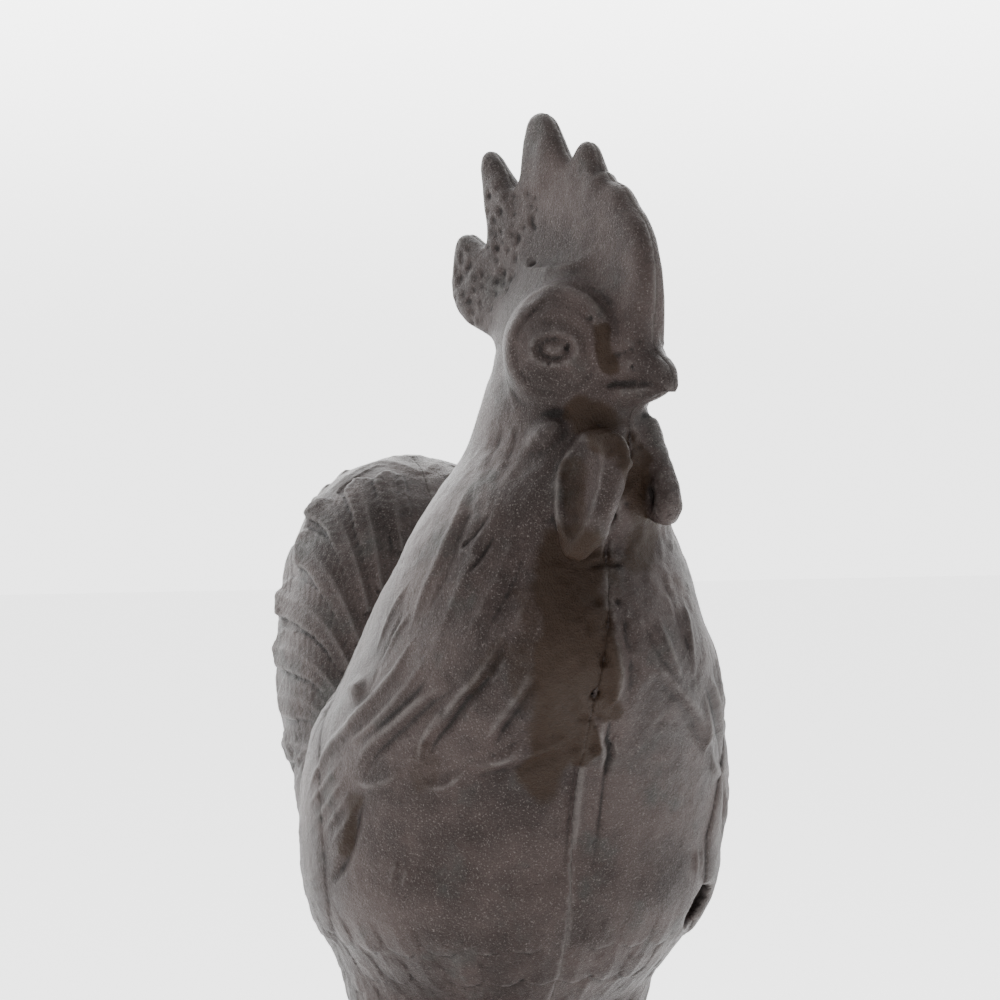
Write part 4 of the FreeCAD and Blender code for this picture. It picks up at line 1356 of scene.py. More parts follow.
SEAM_STROKES = (
    ridge(2.4, 1.5, (606, 585), (610, 627), (617, 667), (618, 683), (611, 705), (602, 716)),
    groove(2.0, 0.7, (622, 590), (627, 627), (633, 667), (631, 690), (622, 712)),
    groove(1.0, 0.5, (619, 705), (614, 737), (605, 780), (598, 830), (592, 887)),
    ridge(1.3, 0.6, (586, 728), (582, 765), (578, 810), (569, 893)),
    groove(1.5, 0.5, (580, 728), (576, 765), (571, 810), (562, 893)),
    ridge(1.5, 0.8, (606, 712), (600, 735), (604, 752), (597, 778)),
    groove(1.2, 1.0, (612, 716), (608, 740), (611, 758), (604, 784)),
    groove(1.3, 0.4, (655, 560), (672, 600), (690, 650), (700, 700)),
    groove(1.2, 0.4, (640, 600), (652, 640), (676, 680)),
    ridge(2.2, 0.9, (647, 657), (680, 690), (700, 717), (712, 753), (716, 773)),
    groove(1.8, 0.5, (645, 668), (672, 696), (692, 722), (704, 757)),
    ridge(1.5, 0.7, (657, 617), (668, 645), (685, 687)),
    ridge(1.3, 0.6, (681, 587), (690, 635), (697, 693)),
    groove(0.7, 0.12, (623, 727), (668, 723), (708, 729)),
    groove(0.7, 0.10, (619, 768), (664, 764), (714, 771)),
    groove(0.7, 0.12, (611, 812), (664, 809), (717, 816)),
)
HEAD_STROKES = (
    ridge(1.9, 1.1, (512, 322), (528, 298), (552, 288), (580, 294), (603, 316), (612, 342)),
    groove(1.2, 0.7, (521, 330), (536, 306), (556, 298), (580, 305), (596, 324)),
    groove(0.7, 0.4, (590, 388), (606, 386), (620, 385), (647, 385), (664, 381)),
    ridge(1.5, 0.4, (648, 352), (656, 360), (664, 370), (670, 380)),
    groove(1.0, 0.9, (628, 366), (636, 368)),
    groove(1.1, 1.2, (564, 345), (567, 347), (570, 348)),
    groove(0.8, 0.8, (546, 362), (550, 364)),
    groove(0.9, 0.9, (589, 317), (593, 319)),
    ridge(1.1, 0.8, (531, 342), (535, 344)),
    groove(1.2, 0.9, (537, 415), (558, 412), (580, 418)),
    ridge(1.3, 1.2, (592, 437), (612, 436), (625, 450), (628, 485), (621, 523)),
    ridge(1.3, 1.3, (584, 438), (564, 462), (558, 500), (564, 533), (580, 550)),
    ridge(1.4, 1.2, (610, 512), (606, 534), (594, 550), (580, 553)),
    groove(2.4, 0.7, (588, 458), (576, 480), (574, 508), (582, 528)),
    groove(1.6, 0.5, (606, 462), (610, 490), (602, 518)),
    groove(1.2, 0.5, (506, 410), (498, 440), (486, 470)),
    groove(1.2, 0.5, (520, 418), (512, 446), (502, 476)),
    ridge(3.4, 0.7, (543, 130), (540, 165), (536, 200)),
    ridge(2.8, 0.6, (490, 165), (500, 195), (510, 222)),
    ridge(2.6, 0.5, (464, 245), (470, 268), (480, 290)),
    ridge(2.6, 0.5, (590, 158), (590, 180), (586, 205)),
)
TAIL_QUILLS = (
    Quill(((338, 775), (316, 752), (298, 745), (285, 742)), Feather(6.0, 1.6)),
    Quill(((346, 748), (320, 712), (298, 700), (279, 694)), Feather(6.5, 1.8)),
    Quill(((356, 722), (326, 676), (301, 655), (281, 648)), Feather(6.8, 1.9)),
    Quill(((363, 695), (334, 636), (308, 607), (286, 596)), Feather(6.8, 2.0)),
    Quill(((368, 662), (340, 592), (318, 556), (300, 546)), Feather(6.4, 2.0)),
    Quill(((374, 630), (356, 560), (340, 520), (318, 502)), Feather(6.0, 2.0)),
    Quill(((384, 602), (376, 548), (368, 508), (358, 482)), Feather(5.6, 2.1)),
    Quill(((404, 560), (398, 520), (392, 492), (388, 474)), Feather(5.0, 1.8)),
    Quill(((448, 486), (415, 470), (380, 463), (345, 480), (326, 500)), Feather(4.6, 0.9, 0.2, 3.0, 0.0)),
)
RUST_BLOBS = (
    Blob(((572, 560), (575, 620), (572, 690)), 36.0),
    Blob(((592, 650), (600, 700)), 20.0),
    Blob(((584, 715), (582, 760)), 14.0, 0.9),
    Blob(((560, 730), (545, 770)), 26.0, 0.85),
    Blob(((530, 600), (528, 690)), 18.0, 0.45),
    Blob(((575, 465), (578, 515)), 13.0, 0.5),
    Blob(((603, 330), (603, 360)), 13.0, 0.9),
    Blob(((585, 415), (606, 432)), 22.0, 0.9),
    Blob(((628, 440), (640, 500), (640, 560)), 14.0, 0.7),
    Blob(((500, 640), (470, 690)), 9.0, 0.40),
    Blob(((425, 755), (425, 775)), 12.0, 0.40),
    Blob(((357, 800), (345, 850)), 9.0, 0.6),
)


@dataclass
class PhotoPen:
    """Finds where pixels of the photograph lie on the two halves."""

    camera: PhotoCamera
    turn: HeadTurn
    reliefs: dict[float, Relief]
    trees: dict[float, BVHTree] = field(default_factory=dict)
    widest_jump: float = 14.0

    def __post_init__(self) -> None:
        """Prepare the turned skins."""
        for sign, relief in self.reliefs.items():
            turned = self.turn.turned(relief.points * np.array([sign, 1.0, 1.0]))
            self.trees[sign] = BVHTree.FromPolygons(turned.tolist(), relief.faces.tolist())

    def trace(self, pixels: Sequence[Place], pieces: int) -> tuple[float, Points]:
        """Lay a line of the photograph onto the skin.

        Args:
            pixels: the line's corners.
            pieces: how many pieces it is divided into.

        Returns:
            The side that it lies on, and its points on that side's straight skin.
        """
        hits: dict[float, list[Vector]] = {sign: [] for sign in self.trees}
        for column, row in smooth_curve(pixels, pieces):
            ray = self.camera.ray(column, row)
            found = []
            for sign, tree in self.trees.items():
                spot, _normal, _index, distance = tree.ray_cast(Vector(self.camera.place), ray)
                if spot is not None:
                    found.append((distance, sign, spot))
            if found:
                _distance, sign, spot = min(found, key=lambda hit: hit[0])
                hits[sign].append(spot)
        sign = max(hits, key=lambda side: len(hits[side]))
        if len(hits[sign]) < 2:
            return sign, np.zeros((0, 3))
        path = self.turn.straightened(np.array(hits[sign])) * np.array([sign, 1.0, 1.0])
        jumps = np.flatnonzero(np.linalg.norm(np.diff(path, axis=0), axis=1) > self.widest_jump)
        return sign, max(np.split(path, jumps + 1), key=len)


@dataclass(frozen=True)
class FeatherRings:
    """Rings of small shingled feathers: the level, middle, half depth and half width of each."""

    cut: Feather
    rows: Table
    steps: int
    pitch: float
    start: float
    across: float
    drops: Table
    pieces: int = 5

    def lay_on(self, relief: Relief) -> None:
        """Lay the rings, the lowest first.

        Args:
            relief: the half's skin.
        """
        for row, (level, middle, half_depth, half_width) in enumerate(reversed(self.rows)):
            for step in range(self.steps):
                angle = math.radians(self.start + self.pitch * (step + 0.5 * (row % 2)))
                across = self.across - half_width * math.sin(angle)
                along = middle - half_depth * math.cos(angle)
                guide = [(across * share, along, level + drop) for share, drop in self.drops]
                relief.feather(relief.laid(guide, self.pieces), self.cut)


@dataclass(frozen=True)
class Plumage:
    """The feathers that the photograph doesn't show, laid by rule over neck, back, belly, thighs and tail."""

    saddle: Feather = Feather(7.0, 1.2, 0.2, 2.4, 0.4)
    saddle_pieces: int = 8
    saddle_across: tuple[float, ...] = (-6.0, -18.0, -30.0, -42.0)
    saddle_guide: Table = ((1.0, 26.0, 250.0), (1.1, 48.0, 230.0), (1.15, 66.0, 214.0))
    hackle: Feather = Feather(3.9, 1.0, 0.0, 3.0, 0.5)
    hackles: int = 13
    hackle_angles: Band = (6.0, 94.0)
    hackle_drop: float = 8.0
    hackle_levels: Table = (
        (304.0, -40.0, 34.0, 22.0), (276.0, -30.7, 39.7, 39.0), (250.0, -20.0, 57.0, 48.5),
        (226.0, -6.0, 67.0, 57.0),
    )
    rings: tuple[FeatherRings, ...] = (
        FeatherRings(
            cut=Feather(6.2, 0.9, 0.15, 2.2, 0.2),
            rows=(
                (160.0, 14.0, 64.0, 57.0), (148.0, 17.0, 60.0, 52.0), (136.0, 18.0, 50.0, 43.0),
                (125.0, 19.0, 36.0, 31.0),
            ),
            steps=14, pitch=12.6, start=6.0, across=0.0,
            drops=((1.0, 8.0), (1.0, 0.0), (0.94, -8.0)),
        ),
        FeatherRings(
            cut=Feather(4.6, 0.8, 0.12, 2.0, 0.2),
            rows=(
                (152.0, 16.0, 36.0, 22.0), (140.0, 16.0, 32.0, 21.5), (128.0, 16.0, 26.0, 19.0),
                (117.0, 16.0, 20.0, 16.5), (108.0, 16.0, 16.5, 14.5),
            ),
            steps=12, pitch=30.0, start=90.0, across=-27.0,
            drops=((1.0, 6.0), (1.0, 0.0), (1.0, -6.0)),
        ),
    )
    long_pieces: int = 14
    rear_pieces: int = 16
    sickle: Feather = Feather(8.6, 2.0, 0.45, 3.2, 0.5)
    sickle_root: Band = (72.0, 180.0)
    sickle_shares: tuple[float, ...] = (0.30, 0.65, 0.98)
    sickle_bend: float = 28.0
    sickle_across: Band = (-46.0, 18.0)
    sickles: Table = ((-14.0, 66.0), (4.0, 78.0), (22.0, 86.0), (39.0, 92.0), (55.0, 100.0), (70.0, 108.0))
    rear: Feather = Feather(6.4, 1.8, 0.4, 3.2, 0.4)
    rear_across: tuple[float, ...] = (-6.0, -18.0, -29.0)
    rear_guide: Table = ((128.0, 286.0), (156.0, 240.0), (150.0, 200.0), (118.0, 164.0))

    def dress_neck(self, relief: Relief) -> None:
        """Lay the saddle feathers towards the tail, then long hackles down the back of the neck.

        Args:
            relief: the half's skin.
        """
        for across in self.saddle_across:
            guide = [(across * share, along, level) for share, along, level in self.saddle_guide]
            relief.feather(relief.laid(guide, self.saddle_pieces), self.saddle)
        for index, angle in enumerate(np.radians(np.linspace(*self.hackle_angles, self.hackles))):
            sine, cosine, drop = math.sin(angle), math.cos(angle), self.hackle_drop * (index % 2)
            guide = [
                (-half_width * sine, middle + half_depth * cosine, level - drop)
                for level, middle, half_depth, half_width in self.hackle_levels
            ]
            relief.feather(relief.laid(guide, self.long_pieces), self.hackle)

    def dress_tail(self, relief: Relief) -> None:
        """Lay a fan of long feathers over the tail's rear half, then hanging ones down its back.

        Args:
            relief: the half's skin.
        """
        outer, inward = self.sickle_across
        for degrees, reach in self.sickles:
            along, up = math.cos(math.radians(degrees)), math.sin(math.radians(degrees))
            guide = []
            for share in self.sickle_shares:
                bend = self.sickle_bend * share * (1.0 - share)
                spot = (self.sickle_root[0] + along * reach * share - up * bend,
                        self.sickle_root[1] + up * reach * share + along * bend)
                guide.append((outer + inward * share**3, *spot))
            relief.feather(relief.laid(guide, self.long_pieces), self.sickle)
        for across in self.rear_across:
            guide = [(across, *spot) for spot in self.rear_guide]
            relief.feather(relief.laid(guide, self.rear_pieces), self.rear)


@dataclass(frozen=True)
class ScrewSeat:
    """The recess for a cross screw's head in the left half: place along Y, height, depth and radius."""

    along: float
    height: float
    seat: float
    radius: float = 6.9
    length: float = 40.0
    margin: float = 10.0
    blend: float = 0.8

    def carve_from(self, solid: SolidGrid, turn: HeadTurn) -> None:
        """Sink the recess into the straight half.

        Args:
            solid: the straight half.
            turn: the head's turn, which the screws don't follow.
        """
        ends = [[self.seat + reach, self.along, self.height] for reach in (0.0, self.length)]
        inner, outer = turn.straightened(np.array(ends)) * np.array([-1.0, 1.0, 1.0])
        axis = (outer - inner) / np.linalg.norm(outer - inner)
        window = solid.window(np.minimum(inner, outer) - self.margin, np.maximum(inner, outer) + self.margin)
        dx, dy, dz = window.x - inner[0], window.y - inner[1], window.z - inner[2]
        along = dx * axis[0] + dy * axis[1] + dz * axis[2]
        away = np.sqrt(np.maximum(dx * dx + dy * dy + dz * dz - along * along, 0.0))
        solid.carve(window, np.maximum(away - self.radius, -along), self.blend)


@dataclass(frozen=True)
class RoughThroat:
    """Where the metal cooled last: chips along the joint at throat and breast, and peeled sand skin."""

    front: Band = (18.0, 34.0)
    bottom: Band = (205.0, 222.0)
    top: Band = (304.0, 312.0)
    edge: Band = (2.5, 8.0)
    middle: Band = (24.0, 46.0)
    chip_seed: int = 51
    chip_depth: float = 2.4
    chip_size: float = 3.4
    chip_start: float = 0.22
    peel_seed: int = 52
    peel_height: float = 0.34
    peel_size: float = 3.0

    def draw_on(self, relief: Relief) -> None:
        """Draw the chips and the peeled skin.

        Args:
            relief: the half's skin.
        """
        spots, chips, peel = relief.points, Grain(self.chip_seed), Grain(self.peel_seed)
        throat = smoothstep(-spots[:, 1], *self.front) * smoothstep(spots[:, 2], *self.bottom)
        throat = throat * (1.0 - smoothstep(spots[:, 2], *self.top))
        edge, middle = (1.0 - smoothstep(-spots[:, 0], *band) for band in (self.edge, self.middle))
        depth = self.chip_depth * np.maximum(chips.at(spots, self.chip_size) - self.chip_start, 0.0)
        relief.height -= throat * edge * depth
        relief.height += self.peel_height * throat * middle * peel.at(spots, self.peel_size)


@dataclass(frozen=True)
class MarkedSkin:
    """The part of the skin that the photograph's marks cover, as bands in which the share of it rises."""

    breast_along: Band = (-30.0, 0.0)
    breast_up: Band = (150.0, 168.0)
    head_up: Band = (296.0, 306.0)
    tail_along: Band = (-112.0, -100.0)
    tail_up: Band = (196.0, 210.0)
    tail_start: Band = (48.0, 60.0)

    def share(self, relief: Relief, sign: float) -> Points:
        """How far each point of a half lies in that part.

        Args:
            relief: the half's skin.
            sign: 1 for the right half, -1 for the left, whose tail doesn't show.

        Returns:
            A share for each point.
        """
        along, up = relief.points[:, 1], relief.points[:, 2]
        breast = smoothstep(-along, *self.breast_along) * smoothstep(up, *self.breast_up)
        share = np.maximum(breast, smoothstep(up, *self.head_up))
        if sign > 0:
            tail = smoothstep(-along, *self.tail_along) * smoothstep(up, *self.tail_up)
            share = np.maximum(share, tail * smoothstep(along, *self.tail_start))
        return share


@dataclass(frozen=True)
class CombDimples:
    """The small round dimples on the rear half of the comb."""

    count: int = 170
    seed: int = 21
    forward: Band = (-42.0, -2.0)
    level: Band = (338.0, 380.0)
    across: float = -6.0
    depth: float = 0.5
    radius: Band = (0.8, 1.3)

    def draw_on(self, relief: Relief, turn: HeadTurn) -> None:
        """Draw the dimples.

        Args:
            relief: the half's skin.
            turn: the head's turn, for the neck's axis.
        """
        rng = np.random.default_rng(self.seed)
        for _index in range(self.count):
            forward, level = rng.uniform(*self.forward), rng.uniform(*self.level)
            spot = (self.across, turn.axis_y - forward, level)
            nearest = relief.tree.find_nearest(Vector(spot))[0]
            if abs(nearest.y - spot[1]) + abs(nearest.z - spot[2]) < 1.0:
                away = np.linalg.norm(relief.points - np.array(nearest), axis=1)
                relief.height -= self.depth * np.exp(-((away / rng.uniform(*self.radius)) ** 2))


@dataclass(frozen=True)
class RustStain:
    """How the photograph's rust is laid on: where the skin faces the camera, with ragged edges."""

    facing: Band = (-0.25, 0.1)
    front: Band = (-20.0, 0.0)
    core_share: float = 0.45
    rim_share: float = 1.5
    pieces: int = 6
    seed: int = 17
    ragged: Table = ((9.0, 9.0, 0.0), (5.0, 3.4, 20.0))

    def draw_on(self, relief: Relief, spots: Points, sign: float, camera: PhotoCamera) -> None:
        """Lay the rust on the near half, and on the edge of the far one.

        Args:
            relief: the half's skin.
            spots: where its points end up.
            sign: 1 for the right half, -1 for the left.
            camera: the photograph's camera.
        """
        pixels = camera.pixels(spots)
        outward = relief.normals * np.array([sign, 1.0, 1.0])
        near = smoothstep(-(outward @ camera.axes()[0]), *self.facing) * smoothstep(-spots[:, 1], *self.front)
        ragged = Grain(self.seed).layered(spots, self.ragged)
        for blob in RUST_BLOBS:
            path = smooth_curve(blob.pixels, self.pieces)
            away = np.full(len(pixels), FARTHEST)
            for start, end in zip(path, path[1:]):
                run = end - start
                share = np.clip((pixels - start) @ run / (run @ run + TINY), 0.0, 1.0)
                away = np.minimum(away, np.linalg.norm(pixels - start - share[:, None] * run, axis=1))
            fade = smoothstep(away + ragged, blob.reach * self.core_share, blob.reach * self.rim_share)
            relief.rust = np.maximum(relief.rust, blob.strength * (1.0 - fade) * near)


@dataclass
class Figure:
    """The two half castings."""

    pitch: float = 0.8
    quick_pitch: float = 1.7
    box: Box = ((-74.0, -104.0, 92.0), (6.0, 172.0, 410.0))
    joint_half_gap: float = -0.40
    flat_reach: float = 1.0
    triangle_limit: int = 190000
    stroke_gain: float = 1.5
    quill_gain: float = 1.1
    quill_pieces: int = 16
    stroke_pieces: int = 18
    shared_above: float = 296.0
    shared_beyond: float = -40.0
    seeds: tuple[int, int] = (11, 12)
    sand: Table = ((0.30, 15.0, 0.0), (0.16, 5.5, 50.0), (0.12, 2.4, 90.0))
    turn: HeadTurn = HeadTurn()
    camera: PhotoCamera = PhotoCamera()
    trunk: Trunk = Trunk()
    comb: Comb = Comb()
    eye_disc: EyeDisc = EyeDisc()
    beak: Beak = Beak()
    ear_lobe: EarLobe = EarLobe()
    right_wattle: Wattle = Wattle()
    left_wattle: Wattle = Wattle(
        outline=(
            (34.0, 311.0), (36.5, 305.0), (39.5, 298.0), (42.0, 291.0), (42.4, 285.0), (39.6, 280.6),
            (34.6, 280.0), (30.0, 283.0), (27.0, 290.0), (26.0, 299.0), (27.5, 306.0), (30.5, 311.0),
        ),
        outward=8.6,
        spread=0.25,
    )
    tail: Tail = Tail()
    right_wing: Wing = Wing()
    left_wing: Wing = Wing(
        outline=(
            (-34.0, 184.0), (-30.0, 204.0), (-14.0, 220.0), (12.0, 226.0), (38.0, 221.0), (64.0, 206.0),
            (86.0, 186.0), (102.0, 164.0), (94.0, 156.0), (74.0, 154.0), (50.0, 149.0), (22.0, 144.0),
            (-8.0, 148.0), (-26.0, 162.0),
        ),
        thickness=2.0,
        edge=9.0,
    )
    thigh: Thigh = Thigh()
    plumage: Plumage = Plumage()
    throat: RoughThroat = RoughThroat()
    marked: MarkedSkin = MarkedSkin()
    dimples: CombDimples = CombDimples()
    rust: RustStain = RustStain()
    screw_seats: tuple[ScrewSeat, ...] = (
        ScrewSeat(-38.0, 256.0, 36.6), ScrewSeat(-25.6, 162.0, 35.4), ScrewSeat(102.0, 225.0, 32.0),
    )

    def straight_half(self, sign: float) -> tuple[Points, Points]:
        """One half of the straight figure, closed by the flat of the joint.

        Args:
            sign: 1 for the right half, -1 for the left, which is mirrored later.

        Returns:
            Its points and faces, at negative X.
        """
        pitch = self.pitch
        solid = SolidGrid(*self.box, pitch)
        for part in (self.trunk, self.thigh, self.tail):
            part.add_to(solid)
        wattle = self.right_wattle if sign > 0 else self.left_wattle
        for part in (self.beak, self.comb, self.eye_disc, wattle, self.ear_lobe):
            part.add_to(solid, self.turn)
        if sign < 0:
            for screw_seat in self.screw_seats:
                screw_seat.carve_from(solid, self.turn)
        solid.distance = np.maximum(solid.distance, solid.whole().x + self.joint_half_gap)
        return solid.surface()

    def build(self, material: Material) -> None:
        """Sculpt and dress both halves.

        Args:
            material: their finish.
        """
        reliefs = {sign: Relief(*self.straight_half(sign), self.flat_reach) for sign in (1.0, -1.0)}
        LOG.info("straight halves: %s faces", [len(relief.faces) for relief in reliefs.values()])
        self.draw_photo_marks(reliefs)
        for name, sign in (("right_half_casting", 1.0), ("left_half_casting", -1.0)):
            relief = reliefs[sign]
            self.draw_by_rule(relief, sign)
            relief.height = relief.relaxed(relief.height, 1)
            relief.settle()
            spots = self.turn.turned(relief.points * np.array([sign, 1.0, 1.0]))
            self.rust.draw_on(relief, spots, sign, self.camera)
            piece = skin_piece(name + "_skin", relief, spots, sign < 0)
            self.thin(piece)
            seat(piece, material, "cast_body", name)

    def draw_photo_marks(self, reliefs: dict[float, Relief]) -> None:
        """Draw what the photograph shows. Marks of the near side that the far side would share go on both.

        Args:
            reliefs: the skin of each half, by its sign.
        """
        pen = PhotoPen(self.camera, self.turn, reliefs)
        for quill in TAIL_QUILLS:
            _side, path = pen.trace(quill.pixels, self.quill_pieces)
            if len(path) > 2:
                for relief in reliefs.values():
                    relief.feather(path, replace(quill.cut, lift=quill.cut.lift * self.quill_gain))
        for stroke in BREAST_STROKES + HEAD_STROKES + SEAM_STROKES:
            side, path = pen.trace(stroke.pixels, self.stroke_pieces)
            if len(path) < 2:
                LOG.info("a stroke at %s misses the skin", stroke.pixels[0])
                continue
            beyond = path[:, 2].mean() > self.shared_above or path[:, 0].mean() < self.shared_beyond
            gain = 1.0 if stroke in HEAD_STROKES else self.stroke_gain
            for sign, relief in reliefs.items():
                if sign == side or (side > 0 and beyond):
                    relief.stroke(path, stroke, gain)

    def draw_by_rule(self, relief: Relief, sign: float) -> None:
        """Draw what lies out of the photograph's view, the comb's dimples and the sand's unevenness.

        Args:
            relief: the half's skin.
            sign: 1 for the right half, -1 for the left.
        """
        drawn = relief.height.copy()
        relief.height = np.zeros(len(drawn))
        wing = self.right_wing if sign > 0 else self.left_wing
        wing.layer(relief)
        relief.settle()
        wing.dress(relief)
        for rings in self.plumage.rings:
            rings.lay_on(relief)
        self.plumage.dress_tail(relief)
        self.plumage.dress_neck(relief)
        relief.height = relief.height * (1.0 - self.marked.share(relief, sign)) + drawn
        self.dimples.draw_on(relief, self.turn)
        self.throat.draw_on(relief)
        relief.height += Grain(self.seeds[sign < 0]).layered(relief.points, self.sand)

    def thin(self, piece: bpy.types.Object) -> None:
        """Bring a piece under the limit of triangles.

        Args:
            piece: the piece.
        """
        triangles = sum(len(face.vertices) - 2 for face in piece.data.polygons)
        if triangles <= self.triangle_limit:
            return
        modifier = piece.modifiers.new("thin", "DECIMATE")
        modifier.ratio = self.triangle_limit / triangles
        evaluated = piece.evaluated_get(bpy.context.evaluated_depsgraph_get())
        thinned = bpy.data.meshes.new_from_object(evaluated)
        piece.modifiers.clear()
        piece.data = thinned


def add_chain(solid: SolidGrid, spots: Sequence[Points], radii: Place, blend: float) -> None:
    """Add a chain of tapered rods with round ends.

    Args:
        solid: the solid that it joins.
        spots: its joints.
        radii: the radius at each joint.
        blend: how wide the fillets are.
    """
    for start, end, first, last in zip(spots, spots[1:], radii, radii[1:]):
        reach = max(first, last) + blend + 2.0
        window = solid.window(np.minimum(start, end) - reach, np.maximum(start, end) + reach)
        run = end - start
        dx, dy, dz = window.x - start[0], window.y - start[1], window.z - start[2]
        share = np.clip((dx * run[0] + dy * run[1] + dz * run[2]) / (run @ run), 0.0, 1.0)
        away = (dx - share * run[0]) ** 2 + (dy - share * run[1]) ** 2 + (dz - share * run[2]) ** 2
        solid.add(window, np.sqrt(away) - (first + (last - first) * share), blend)


def upright_rod(window: Window, middle: Place, radius: float) -> Points:
    """Distance to the side of an upright rod that stands at a middle in X and Y."""
    return np.sqrt((window.x - middle[0]) ** 2 + (window.y - middle[1]) ** 2) - radius


@dataclass(frozen=True)
class ScuteRow:
    """A row of horny plates that overlap like tiles, repeated by geometry nodes, down from the origin."""

    count: int
    pitch: float
    radius: float
    height: float
    span: float = 68.0
    bulge: float = 0.9
    taper: float = 0.0
    wobble: float = 0.035
    seed: int = 7
    profile: tuple[float, ...] = (0.0, 0.35, 0.62, 0.84, 0.97, 1.0, 0.5)
    columns: int = 13
    depth: float = 1.4

    def plate(self) -> tuple[Points, Points]:
        """One plate, bent round the row's axis.

        Returns:
            Its points in millimetres, the outer layer first, and its faces.
        """
        angles = np.radians(np.linspace(-self.span, self.span, self.columns))
        edge = 1.0 - np.abs(np.linspace(-1.0, 1.0, self.columns)) ** 4
        rows, columns, points, faces = len(self.profile), self.columns, [], []
        for outer in (True, False):
            for row, share in enumerate(self.profile):
                reach = self.radius + (self.bulge * share * edge if outer else -self.depth * np.ones(columns))
                down = np.full(columns, -self.height * row / (rows - 1))
                points.append(np.stack([reach * np.sin(angles), -reach * np.cos(angles), down], axis=1))
        inner = rows * columns
        for row in range(rows - 1):
            for column in range(columns - 1):
                a, b = row * columns + column, (row + 1) * columns + column
                faces.append([a, b, b + 1, a + 1])
                faces.append([inner + a, inner + a + 1, inner + b + 1, inner + b])
            for column, turn in ((0, 1), (columns - 1, -1)):
                a, b = row * columns + column, (row + 1) * columns + column
                faces.append([a, inner + a, inner + b, b][::turn])
        for column in range(columns - 1):
            for row, turn in ((0, 1), (rows - 1, -1)):
                a = row * columns + column
                faces.append([a, a + 1, inner + a + 1, inner + a][::turn])
        return np.vstack(points), np.array(faces)

    def tree(self) -> bpy.types.NodeTree:
        """The geometry nodes that repeat a plate along a line.

        Returns:
            Their tree.
        """
        tree = bpy.data.node_groups.new("scute_row", "GeometryNodeTree")
        kinds = {
            "Plate": "Geometry", "Count": "Int", "Pitch": "Float", "Taper": "Float", "Wobble": "Float",
            "Seed": "Int", "Finish": "Material",
        }
        for name, kind in kinds.items():
            tree.interface.new_socket(name, in_out="INPUT", socket_type=f"NodeSocket{kind}")
        tree.interface.new_socket("Row", in_out="OUTPUT", socket_type="NodeSocketGeometry")
        pen = NodePen(tree)
        given, result = pen.node("NodeGroupInput", {}).outputs, pen.node("NodeGroupOutput", {})
        step = pen.node("ShaderNodeCombineXYZ", {"Z": pen.calculation("MULTIPLY", given["Pitch"], -1.0)})
        line = pen.node("GeometryNodeMeshLine", {"Count": given["Count"], "Offset": step.outputs[0]})
        order = pen.node("GeometryNodeInputIndex", {}).outputs[0]
        share = pen.calculation("DIVIDE", order, pen.calculation("MAXIMUM", given["Count"], 1.0))
        size = pen.calculation("SUBTRACT", 1.0, pen.calculation("MULTIPLY", share, given["Taper"]))
        back = pen.calculation("MULTIPLY", given["Wobble"], -1.0)
        highest, lowest = (
            pen.node("ShaderNodeCombineXYZ", {axis: value for axis in "XYZ"}).outputs[0]
            for value in (given["Wobble"], back)
        )
        chance = pen.node("FunctionNodeRandomValue", {}, data_type="FLOAT_VECTOR")
        for socket, value in ((0, lowest), (1, highest), ("Seed", given["Seed"])):
            pen.feed(chance.inputs[socket], value)
        feeds = {
            "Points": line.outputs["Mesh"], "Instance": given["Plate"],
            "Rotation": chance.outputs[0], "Scale": size,
        }
        place = pen.node("GeometryNodeInstanceOnPoints", feeds)
        real = pen.node("GeometryNodeRealizeInstances", {"Geometry": place.outputs["Instances"]})
        feeds = {"Geometry": real.outputs["Geometry"], "Material": given["Finish"]}
        dress = pen.node("GeometryNodeSetMaterial", feeds)
        pen.feed(result.inputs["Row"], dress.outputs["Geometry"])
        return tree

    def laid(
        self, origin: Place, heading: Points, outward: Points, finish: Material
    ) -> tuple[Points, Points]:
        """Repeat the plate and set the row in place.

        Args:
            origin: where the row starts.
            heading: which way it runs.
            outward: which way its plates face.
            finish: its material.

        Returns:
            The row's points in millimetres, and its faces.
        """
        template = mesh_piece("scute", *self.plate())
        tree = self.tree()
        modifier = template.modifiers.new("row", "NODES")
        modifier.node_group = tree
        given = {
            "Count": self.count, "Pitch": self.pitch * MILLIMETRE, "Taper": self.taper, "Wobble": self.wobble,
            "Seed": self.seed, "Finish": finish,
        }
        for item in tree.interface.items_tree:
            if item.in_out == "INPUT" and item.name in given:
                modifier[item.identifier] = given[item.name]
        evaluated = template.evaluated_get(bpy.context.evaluated_depsgraph_get())
        row = bpy.data.meshes.new_from_object(evaluated)
        spots = np.zeros(3 * len(row.vertices))
        row.vertices.foreach_get("co", spots)
        corners = np.zeros(4 * len(row.polygons), int)
        row.polygons.foreach_get("vertices", corners)
        bpy.data.objects.remove(template)
        bpy.data.meshes.remove(row)
        spots = spots.reshape(-1, 3) / MILLIMETRE
        axes = np.stack([np.cross(outward, heading), -outward, -heading], axis=1)
        return spots @ axes.T + np.asarray(origin, float), corners.reshape(-1, 4)


